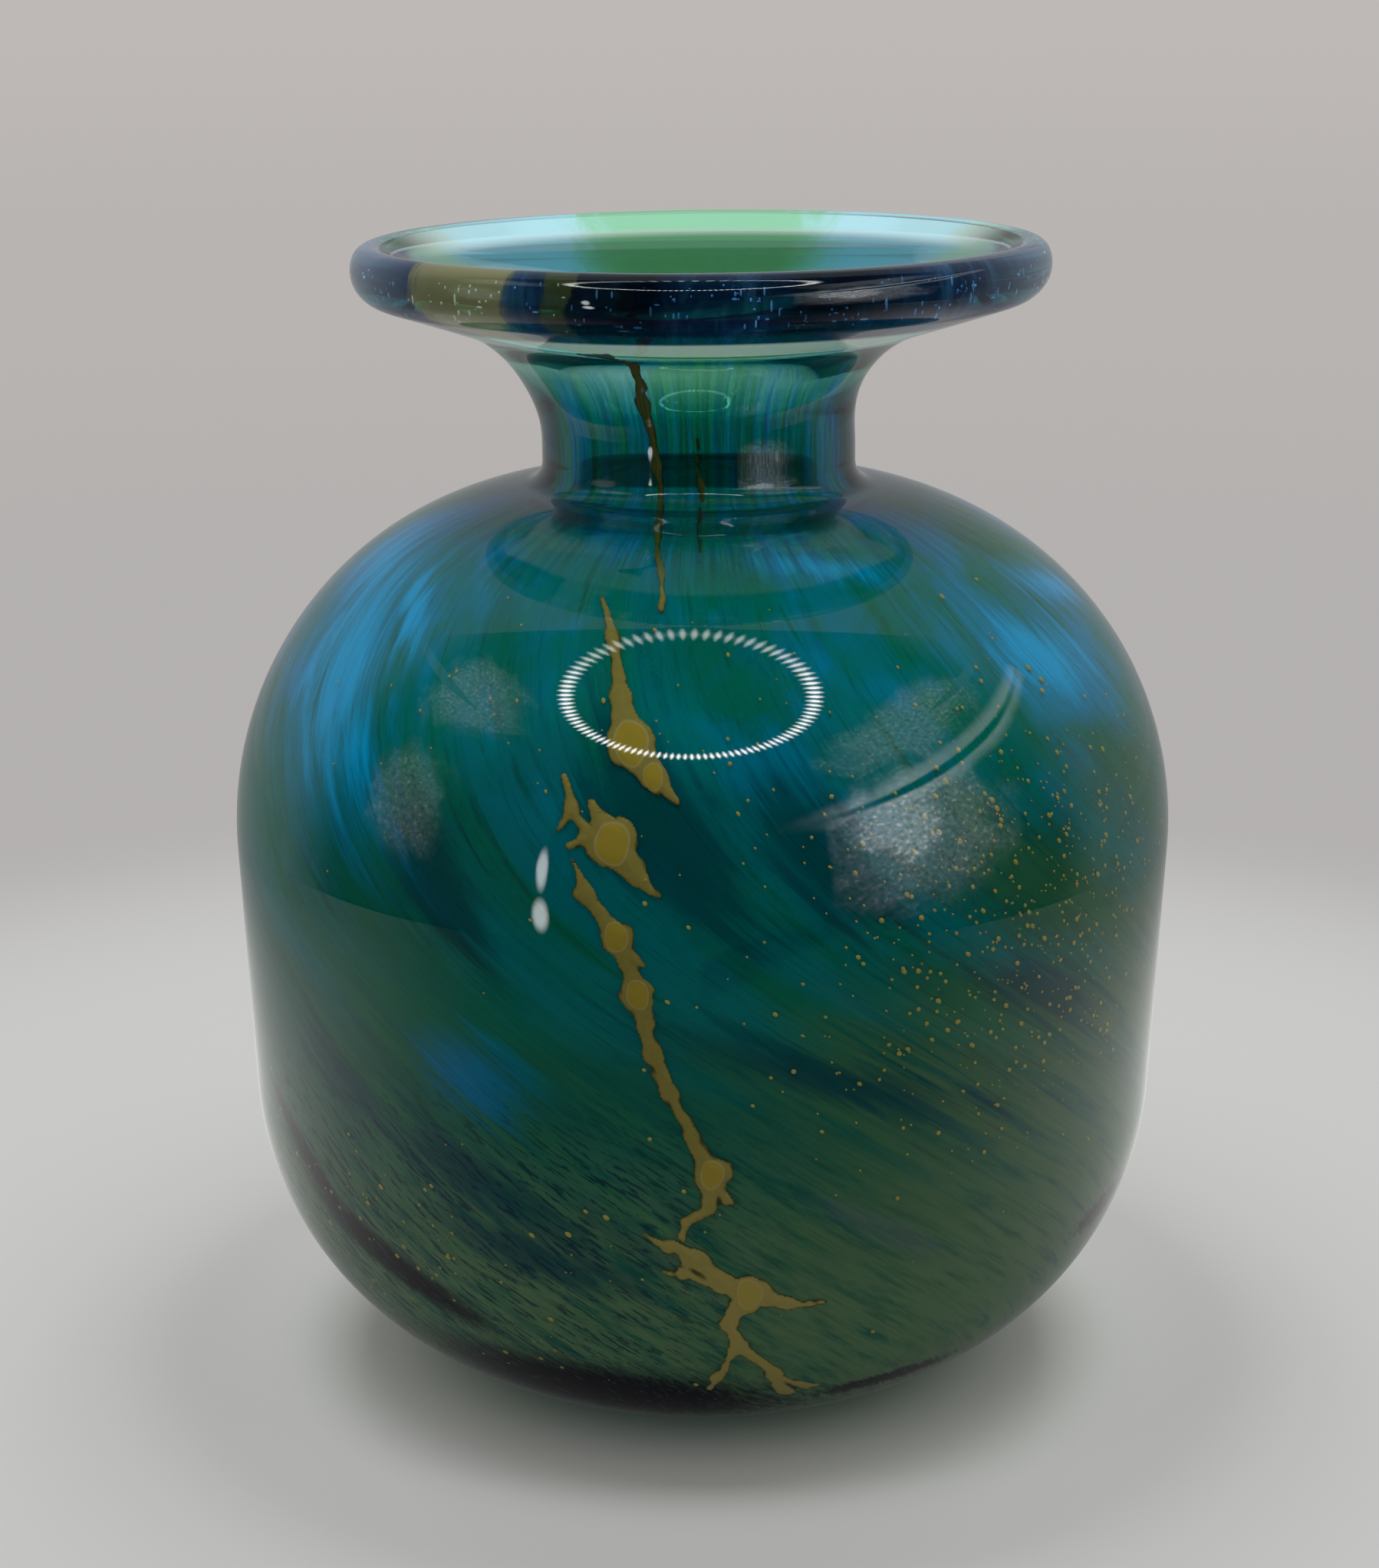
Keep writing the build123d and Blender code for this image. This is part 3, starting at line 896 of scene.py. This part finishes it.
def drawn_to_edge(x, z, field, corners):
    """Places of the grid, with those on the border of the filled cells moved onto the edge."""
    slope_x, slope_z = np.gradient(field, TRAIL_STEP)
    reach = 0.8 * TRAIL_STEP
    shift = np.clip(field / (slope_x**2 + slope_z**2 + 0.05), -reach, reach)
    shift[corners == 4] = 0.0
    return x - shift * slope_x, z - shift * slope_z


def shell_faces(cells, numbers):
    """Faces of a closed shell over the filled cells; the inner point of a place comes after its outer one."""
    faces = []
    for i, j in zip(*np.nonzero(cells)):
        ring = [numbers[corner] for corner in ((i, j), (i + 1, j), (i + 1, j + 1), (i, j + 1))]
        faces.append(tuple(ring))
        faces.append(tuple(number + 1 for number in reversed(ring)))
        for side, (di, dj) in enumerate(((0, -1), (1, 0), (0, 1), (-1, 0))):
            if not cells[i + di, j + dj]:
                a, b = ring[side], ring[(side + 1) % 4]
                faces.append((b, a, a + 1, b + 1))
    return faces


def trail(name, chains, material, seed):
    """Closed thin mesh of one length of trail, thickest in the middle of its beads."""
    x, z = trail_grid([bead for chain in chains for bead in chain])
    field, core = trail_fields(x, z, chains, seed)
    cells = closed_cells(field < 0.05)
    corners = filled_corners(cells, x.shape)
    x, z = drawn_to_edge(x, z, field, corners)
    rise = 0.05 + (TRAIL_THICKNESS - 0.05) * np.sqrt(np.clip(-field / 1.6, 0.0, 1.0))
    numbers, places, rims, cores = {}, [], [], []
    for i, j in zip(*np.nonzero(corners)):
        numbers[(i, j)] = len(places)
        azimuth = math.asin(x[i, j] / np.interp(z[i, j], SECTION_Z, SECTION_R))
        for depth in (TRAIL_FOOT - rise[i, j], TRAIL_FOOT):
            places.append(in_wall(azimuth, z[i, j], depth))
            rims.append(max(-field[i, j], 0.0))
            cores.append(core[i, j])
    mesh = bpy.data.meshes.new(name)
    mesh.from_pydata(places, [], shell_faces(cells, numbers))
    mesh.attributes.new("rim", "FLOAT", "POINT").data.foreach_set("value", rims)
    mesh.attributes.new("core", "FLOAT", "POINT").data.foreach_set("value", cores)
    mesh.polygons.foreach_set("use_smooth", [True] * len(mesh.polygons))
    return embedded_piece(name, mesh, material)


def embedded_piece(name, mesh, material):
    """Object for glass laid inside the wall, riding on the vase."""
    mesh.materials.append(material)
    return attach(placed(name, mesh), "root")


def ochre_material():
    """Opaque ochre trail: a browner core in each bead, a pale ring round it, painted light that makes it
    paler towards the foot, and a dark outline that is partly the dark halo round the trail and partly painted
    shadow where it stands above the colour layer.
    """
    nodes = Nodes("ochre_glass")
    rim = nodes.add("ShaderNodeAttribute", {"attribute_name": "rim"}).outputs["Fac"]
    core = nodes.add("ShaderNodeAttribute", {"attribute_name": "core"}).outputs["Fac"]
    place = nodes.add("ShaderNodeTexCoord").outputs["Object"]
    grain = nodes.noise(place, 900.0, 3.0, 0.6)
    height = nodes.add("ShaderNodeSeparateXYZ", Vector=place).outputs["Z"]
    body = nodes.blend(grain, colour(0.165, 0.148, 0.034), colour(0.245, 0.208, 0.054))
    body = nodes.blend(nodes.ramp(core, 0.30, 0.42), body, colour(0.280, 0.220, 0.028))
    pale = nodes.times(nodes.ramp(core, 0.24, 0.30), nodes.ramp(core, 0.40, 0.33))
    body = nodes.blend(nodes.times(pale, 0.5), body, colour(0.36, 0.30, 0.12))
    # Painted light: paler ochre towards the foot, to make up for the light that falls off there.
    body = nodes.blend(nodes.ramp(height, 56 * MM, 24 * MM, 0.0, 0.35), body, colour(0.44, 0.37, 0.13))
    # Dark outline along the trail's edge: partly its dark halo, partly painted shadow of the raised trail on
    # the colour layer.
    edge = nodes.ramp(nodes.maths("MULTIPLY_ADD", grain, 0.25, rim), 0.12, 0.46)
    body = nodes.blend(edge, colour(0.035, 0.045, 0.015), body)
    body = nodes.blend(nodes.ramp(height, 112 * MM, 116 * MM, 0.0, 0.6), body, colour(0.030, 0.034, 0.008))
    return nodes.finish(nodes.powdered(body, 0.25))


def ochre_frit_material():
    """Ochre grains, paler in their middle."""
    nodes = Nodes("ochre_frit_glass")
    place = nodes.add("ShaderNodeTexCoord").outputs["Object"]
    body = nodes.blend(nodes.noise(place, 700.0), colour(0.16, 0.15, 0.03), colour(0.30, 0.27, 0.07))
    return nodes.finish(nodes.add("ShaderNodeBsdfDiffuse", Color=body).outputs[0])


def bubble_material():
    """Air bubbles, drawn as pale matt specks: painted glints in place of the light that the bubbles catch."""
    nodes = Nodes("air_bubble")
    place = nodes.add("ShaderNodeTexCoord").outputs["Object"]
    # Pale blue to white: painted glints, though the specks are plain diffuse.
    pale = nodes.blend(nodes.noise(place, 300.0), colour(0.10, 0.45, 0.80), colour(0.75, 0.95, 1.0))
    return nodes.finish(nodes.add("ShaderNodeBsdfDiffuse", Color=pale).outputs[0])


ochre = ochre_material()
for seed, (name, chains) in enumerate(TRAILS.items()):
    length = trail(name + "_glass", chains, ochre, seed * 3.7)
    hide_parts(name)


def grains(name, places, material):
    """Small closed ellipsoids, each a matrix, in one mesh."""
    work = bmesh.new()
    for matrix in places:
        bmesh.ops.create_icosphere(work, subdivisions=2, radius=1.0, matrix=matrix)
    mesh = bpy.data.meshes.new(name)
    work.to_mesh(mesh)
    work.free()
    mesh.polygons.foreach_set("use_smooth", [True] * len(mesh.polygons))
    return embedded_piece(name, mesh, material)


def laid_grain(azimuth, height, depth, half_length, half_width, half_depth):
    """Matrix of a grain that lies in the wall, drawn out along the swirl."""
    outward = Vector((math.sin(azimuth), -math.cos(azimuth), 0.0))
    radius = np.interp(height, SECTION_Z, SECTION_R)
    pull = 2 * TWIST * min(TWIST_TOP - height, TWIST_REACH) * radius
    step = 1e-3
    ahead = in_wall(azimuth + pull * step / radius, height - step, depth)
    centre = in_wall(azimuth, height, depth)
    along = (ahead - centre).normalized()
    out = (outward - outward.dot(along) * along).normalized()
    side = out.cross(along)
    turn = Matrix((along, side, out)).transposed().to_4x4()
    scale = Matrix.Diagonal((half_length * MM, half_width * MM, half_depth * MM, 1.0))
    return Matrix.Translation(centre) @ turn @ scale


# Clusters of frit: grain count, middle azimuth, spread, middle height, spread.
FRIT_CLUSTERS = (
    (600, 43, 16, 75, 13),
    (120, -46, 20, 28, 9),
    (34, 6, 12, 101, 8),
    (22, -32, 14, 100, 9),
    (70, 34, 18, 56, 6),
    (14, -4, 12, 80, 10),
    (16, -15, 22, 32, 12),
    (50, 170, 40, 80, 18),
)
FRIT_DEPTH = 2.3
BUBBLES = 240


def frit_matrices(chance):
    """Matrices of all grains of frit."""
    matrices = []
    for count, azimuth, around, height, up in FRIT_CLUSTERS:
        for _ in range(count):
            turn = math.radians(chance.gauss(azimuth, around))
            level = min(max(chance.gauss(height, up), 14.0), 112.0)
            size = 0.10 + 0.21 * chance.random() ** 2
            matrices.append(laid_grain(turn, level, FRIT_DEPTH, size * chance.uniform(1.0, 1.6), size, 0.16))
    return matrices


def bubble_matrices(chance):
    """Matrices of the air bubbles in the front of the lip, some of them drawn out up or across it."""
    matrices = []
    for _ in range(BUBBLES):
        turn = math.radians(chance.uniform(-100, 100))
        tilt = chance.uniform(-62, 28)
        inset = chance.uniform(0.5, 2.6)
        radius, height = polar(LIP_CENTRE, LIP_RADIUS - inset, tilt)
        centre = drifted(radius * math.sin(turn), -radius * math.cos(turn), height)
        size = (0.06 + 0.09 * chance.random()) * MM
        stretch = chance.choice((1.0, 1.5, 2.5, 4.0))
        shape = Matrix.Diagonal((size, size, size * stretch, 1.0))
        roll = Matrix.Rotation(chance.choice((0.0, 0.0, math.pi / 2)), 4, "Y")
        matrices.append(Matrix.Translation(centre) @ Matrix.Rotation(turn, 4, "Z") @ roll @ shape)
    return matrices


chance = random.Random(11)
frit = grains("ochre_frit_grains", frit_matrices(chance), ochre_frit_material())
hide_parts("ochre_frit")
bubbles = grains("lip_bubbles", bubble_matrices(chance), bubble_material())


MIRRORED = {"camera": False, "diffuse": False, "shadow": False}


def staged(name, mesh, material, **seen):
    """Stage object with ray visibility given as camera, diffuse, glossy, transmission or shadow."""
    mesh.materials.append(material)
    stage = placed(name, mesh)
    for ray, shown in seen.items():
        setattr(stage, "visible_" + ray, shown)
    return stage


def from_axis(nodes, place):
    """Distance of a place from the axis."""
    return nodes.vector("LENGTH", nodes.vector("MULTIPLY", place, (1, 1, 0)))


def surface_of_revolution(name, section, start=0.0, sweep=360.0, count=96):
    """Open mesh swept round the axis from points (radius, height) in metres."""
    mesh = bpy.data.meshes.new(name)
    steps = [math.radians(start + sweep * i / count) for i in range(count + 1)]
    vertices = [(r * math.sin(a), -r * math.cos(a), z) for a in steps for r, z in section]
    width = len(section)
    faces = [
        (i * width + k, (i + 1) * width + k, (i + 1) * width + k + 1, i * width + k + 1)
        for i in range(count)
        for k in range(width - 1)
    ]
    mesh.from_pydata(vertices, [], faces)
    mesh.polygons.foreach_set("use_smooth", [True] * len(faces))
    return mesh


def backdrop_material():
    """Pale floor that takes the shadow, with a painted contact shadow round the foot, dark and teal, and a
    painted lighter ring just outside it, running back into a soft grey sweep that glows with painted light:
    brightest just beyond the floor, dimmer behind that and lighter up the wall.
    """
    nodes = Nodes("pale_sweep")
    place = nodes.add("ShaderNodeTexCoord").outputs["Object"]
    height = nodes.add("ShaderNodeSeparateXYZ", Vector=place).outputs["Z"]
    away = from_axis(nodes, place)
    # Painted contact shadow: dark teal round the foot out to about 46 mm, a lighter ring of painted light
    # just outside it, then the plain floor colour from 75 mm.
    floor = nodes.blend(nodes.ramp(away, 0.026, 0.046), colour(0.26, 0.33, 0.30), colour(0.80, 0.81, 0.80))
    floor = nodes.blend(nodes.ramp(away, 0.044, 0.075), floor, colour(0.485, 0.49, 0.485))
    floor = nodes.add("ShaderNodeBsdfDiffuse", Color=floor).outputs[0]
    # Painted light on the sweep: it glows, brightest just beyond the floor, dimmer behind that and lighter up
    # the wall.
    far = nodes.blend(nodes.ramp(away, 0.16, 0.28), colour(0.56, 0.56, 0.55), colour(0.455, 0.440, 0.432))
    far = nodes.blend(nodes.ramp(away, 0.5, 1.3), far, colour(0.480, 0.455, 0.440))
    far = nodes.blend(nodes.ramp(height, 0.0, 0.16), far, colour(0.515, 0.485, 0.468))
    return nodes.finish(nodes.mix(nodes.ramp(away, 0.12, 0.28), floor, nodes.glow(far, 1.0)))


# Section of the backdrop in metres: a flat floor, a quarter round and a wall.
FLOOR_END, SWEEP_RADIUS, BACK_HEIGHTS = 1.2, 0.3, (0.8, 1.6)
sweep = [(radius, 0.0) for radius in (0.0001, 0.1, 0.3, 0.6, 0.9, FLOOR_END)]
sweep += [
    (FLOOR_END + SWEEP_RADIUS * math.sin(turn), SWEEP_RADIUS - SWEEP_RADIUS * math.cos(turn))
    for turn in np.linspace(0.1, math.pi / 2, 12)
]
sweep += [(FLOOR_END + SWEEP_RADIUS, height) for height in BACK_HEIGHTS]
staged("backdrop", surface_of_revolution("backdrop", sweep), backdrop_material(), glossy=False)

# What the glass mirrors: a white tent with a dark open front, crumpled silver flaps and a lamp ring.
OPENING_START, OPENING_END = -111.0, 104.0
WALL_RADIUS, WALL_TOP = 0.32, 0.35
TENT_RADIUS, TENT_GLOW = 0.7, 0.34
# Height in millimetres from which the flaps and slits are seen, as if from the middle of the vase.
EYE_HEIGHT = 100.0
SILVER_PANELS = (
    # azimuth, height in mm, half width, half height, tilt, brightness
    (-72, 370, 92, 84, -20, 1.1),
    (-70, 160, 56, 76, 10, 0.9),
    (60, 345, 130, 70, 12, 1.2),
    (48, 150, 120, 100, 0, 1.6),
    (45, 172, 62, 52, 10, 3.6),
)
# Slits of light left of the middle: height, half height and half width in mm.
SLIT_AZIMUTH, SLIT_GLOW = -34, 9.0
SLITS = ((110, 30, 7), (42, 24, 10))
# The fold across the right flaps, a crease with a sheen beside it.
FOLD_AZIMUTH, FOLD_HALF_LENGTH, FOLD_TILT = 64, 225, 12


def along_wall(azimuth):
    """Run along the tent's front wall in millimetres, from an azimuth in degrees."""
    return math.radians(azimuth) * WALL_RADIUS * 1000


def silver_glow(nodes, flat, folds, azimuth):
    """Glow of the crumpled silver flaps, which stop where the opening begins."""
    crinkle = nodes.noise(flat, 0.14, 3.0, 0.7)
    dull = nodes.ramp(crinkle, 0.25, 0.60, 0.2, 0.9)
    shiny = nodes.ramp(crinkle, 0.55, 0.70, 0.0, 1.4)
    beside = nodes.most(nodes.ramp(azimuth, 0.46, 0.49), nodes.ramp(azimuth, -0.45, -0.60))
    shade = nodes.times(nodes.maths("ADD", dull, shiny), beside)
    glow = nodes.ramp(nodes.maths("ABSOLUTE", nodes.maths("ADD", azimuth, 0.05)), 0.50, 0.56, 0.004, 0.03)
    for at, height, half_width, half_height, tilt, bright in SILVER_PANELS:
        panel = spot(nodes, flat, folds, along_wall(at), height, half_width, half_height, tilt, 0.7)
        glow = nodes.maths("MULTIPLY_ADD", panel, nodes.times(shade, bright), glow)
    return glow


def front_material():
    """Dark opening of the tent, with silver flaps at its sides and two slits of light."""
    nodes = Nodes("tent_front")
    place = nodes.add("ShaderNodeTexCoord").outputs["Object"]
    parts = nodes.add("ShaderNodeSeparateXYZ", Vector=place).outputs
    azimuth = nodes.maths("ARCTAN2", parts["X"], nodes.times(parts["Y"], -1.0))
    # A place on the lid counts as the place on the wall that is seen past it from the middle of the vase.
    rise = nodes.maths("MULTIPLY_ADD", parts["Z"], 1000.0, -EYE_HEIGHT)
    reach = nodes.maths("DIVIDE", WALL_RADIUS, from_axis(nodes, place))
    rise = nodes.maths("MULTIPLY_ADD", rise, reach, EYE_HEIGHT)
    flat = nodes.add("ShaderNodeCombineXYZ", X=nodes.times(azimuth, WALL_RADIUS * 1000), Y=rise).outputs[0]
    folds = nodes.noise(flat, 0.012, 3.0, 0.6, 0.8)

    glow = silver_glow(nodes, flat, folds, azimuth)
    fold_at = along_wall(FOLD_AZIMUTH)
    crease = spot(nodes, flat, folds, fold_at, 238, FOLD_HALF_LENGTH, 8, FOLD_TILT, 0.1)
    sheen = spot(nodes, flat, folds, fold_at, 241, FOLD_HALF_LENGTH, 26, FOLD_TILT, 0.3)
    glow = nodes.times(nodes.maths("MULTIPLY_ADD", sheen, 1.9, glow), nodes.rest(crease))
    for height, half_height, half_width in SLITS:
        slit = spot(nodes, flat, folds, along_wall(SLIT_AZIMUTH), height, half_width, half_height, 0, 0.1)
        glow = nodes.maths("MULTIPLY_ADD", slit, SLIT_GLOW, glow)
    glow = nodes.times(glow, nodes.ramp(rise, 2.0, 7.0))
    sides = nodes.most(nodes.ramp(azimuth, -1.50, -1.93), nodes.ramp(azimuth, 1.40, 1.81))
    glow = nodes.maths("MULTIPLY_ADD", sides, TENT_GLOW, glow)

    # Seen through the glass there are no flaps, only the dark front and paler sides.
    inside = nodes.add("ShaderNodeLightPath").outputs["Is Transmission Ray"]
    plain = nodes.ramp(nodes.maths("ABSOLUTE", azimuth), 0.7, 1.2, 0.05, 0.40)
    glow = nodes.maths("MULTIPLY_ADD", inside, plain, nodes.times(glow, nodes.rest(inside)))
    return nodes.finish(nodes.glow(colour(0.93, 0.97, 1.0), glow))


def lid_mesh():
    """Flat lid over the dark front, whose back edge bows towards the front in the middle."""
    half_width, count = 0.298, 40
    across = np.linspace(-half_width, half_width, count)
    front = [(x, -math.sqrt(WALL_RADIUS**2 - x * x), WALL_TOP) for x in across]
    back = [(x, -0.05 + 1.6 * x * x, WALL_TOP) for x in across]
    mesh = bpy.data.meshes.new("tent_lid")
    mesh.from_pydata(front + back, [], [(i, i + 1, i + count + 1, i + count) for i in range(count - 1)])
    return mesh


def tent_material():
    """White inside of the tent."""
    nodes = Nodes("tent_white")
    return nodes.finish(nodes.glow(colour(TENT_GLOW, TENT_GLOW, TENT_GLOW), 1.0))


wall_section = [(WALL_RADIUS, 0.0), (WALL_RADIUS, WALL_TOP)]
wall_mesh = surface_of_revolution("tent_front", wall_section, OPENING_START, OPENING_END - OPENING_START)
opening_dark = front_material()
staged("tent_front", wall_mesh, opening_dark, **MIRRORED)
staged("tent_lid", lid_mesh(), opening_dark, transmission=False, **MIRRORED)
rises = np.linspace(0.0, math.pi / 2 - 0.001, 16)
dome = [(TENT_RADIUS * math.cos(rise), TENT_RADIUS * math.sin(rise)) for rise in rises]
staged("tent", surface_of_revolution("tent", dome), tent_material(), transmission=False, **MIRRORED)


def mirror_floor_material():
    """Floor as the glass mirrors it: shaded near the foot, dimmer in front than behind."""
    nodes = Nodes("mirror_floor")
    place = nodes.add("ShaderNodeTexCoord").outputs["Object"]
    away = from_axis(nodes, place)
    parts = nodes.add("ShaderNodeSeparateXYZ", Vector=place).outputs
    outward = nodes.maths("MULTIPLY_ADD", nodes.maths("ABSOLUTE", parts["X"]), 0.7, parts["Y"])
    near_foot = nodes.ramp(away, 0.03, 0.10, 0.3, 1.0)
    far_off = nodes.ramp(away, 0.12, 0.26, 1.0, 0.36)
    bright = nodes.times(nodes.ramp(outward, -0.08, 0.16, 0.04, 0.85), near_foot, far_off)
    return nodes.finish(nodes.glow(colour(1, 1, 0.98), bright))


MIRROR_FLOOR_HEIGHT = 0.0004
mirror_rings = [(radius, MIRROR_FLOOR_HEIGHT) for radius in (0.001, 0.29, 0.72)]
mirror_floor = surface_of_revolution("mirror_floor", mirror_rings)
staged("mirror_floor", mirror_floor, mirror_floor_material(), transmission=False, **MIRRORED)

RING_CENTRE, RING_RADIUS, RING_HALF_WIDTH = (-0.010, -0.133, 0.25), 0.0925, 0.0095
RING_LAMPS, RING_SQUASH = 92, 0.86


def ring_material():
    """Ring of small lamps that run into one another, dimmer at the back."""
    nodes = Nodes("lamp_ring")
    place = nodes.add("ShaderNodeTexCoord").outputs["Object"]
    parts = nodes.add("ShaderNodeSeparateXYZ", Vector=place).outputs
    angle = nodes.maths("ARCTAN2", parts["Y"], parts["X"])
    beat = nodes.maths("COSINE", nodes.times(angle, RING_LAMPS))
    off = nodes.maths("ABSOLUTE", nodes.maths("SUBTRACT", nodes.vector("LENGTH", place), RING_RADIUS))
    off = nodes.maths("MULTIPLY_ADD", beat, -0.0022, off)
    lamps = nodes.ramp(beat, -1.0, 1.0, 0.2, 1.2)
    behind = nodes.ramp(parts["Y"], 0.03, 0.088, 1.0, 0.3)
    glow = nodes.times(nodes.ramp(off, RING_HALF_WIDTH * 0.75, -0.001, 0.0, 20.0), lamps, behind)
    return nodes.finish(nodes.glow(colour(0.96, 1.0, 0.98), glow))


ring_section = [(RING_RADIUS + side * RING_HALF_WIDTH, 0.0) for side in (-1, 0, 1)]
annulus = surface_of_revolution("lamp_ring", ring_section, count=240)
ring = staged("lamp_ring", annulus, ring_material(), transmission=False, **MIRRORED)
ring.location = RING_CENTRE
ring.scale.y = RING_SQUASH


def area_light(name, place, target, size, power):
    """Soft square lamp aimed at a point, seen by diffuse surfaces only."""
    lamp = bpy.data.lights.new(name, "AREA")
    lamp.size = size
    lamp.energy = power
    light = placed(name, lamp)
    light.location = place
    light.rotation_euler = (Vector(target) - Vector(place)).to_track_quat("-Z", "Y").to_euler()
    light.visible_glossy = False
    light.visible_transmission = False


area_light("top", (0.0, 0.05, 0.9), (0, 0, 0), 0.7, 7.8)
area_light("left", (-0.9, -0.4, 0.5), (0, 0, 0.08), 0.5, 0.3)
area_light("right", (0.9, -0.4, 0.5), (0, 0, 0.08), 0.5, 0.3)

scene = bpy.context.scene
world = bpy.data.worlds.new("soft_room")
scene.world = world
world.use_nodes = True
sky = world.node_tree.nodes["Background"].inputs
sky["Color"].default_value = colour(0.9, 0.9, 0.9)
sky["Strength"].default_value = 0.38
world.cycles_visibility.glossy = False

# Camera at the photograph's place: in front of the axis, looking down a little.
LENS, SENSOR_WIDTH, PITCH, SHIFT = 71.3, 36.0, 15.32, -0.0083
# Distance and height in millimetres.
CAMERA_DISTANCE, CAMERA_HEIGHT = 400.0, 187.6
camera_data = bpy.data.cameras.new("camera")
camera_data.lens = LENS
camera_data.sensor_width = SENSOR_WIDTH
camera_data.shift_x = SHIFT
camera = placed("camera", camera_data)
camera.location = (0.0, -CAMERA_DISTANCE * MM, CAMERA_HEIGHT * MM)
camera.rotation_euler = (math.radians(90 - PITCH), 0.0, 0.0)
scene.camera = camera

scene.view_settings.view_transform = "Standard"
scene.cycles.transparent_max_bounces = 32
scene.cycles.max_bounces = 16
scene.cycles.transmission_bounces = 16
scene.cycles.glossy_bounces = 6
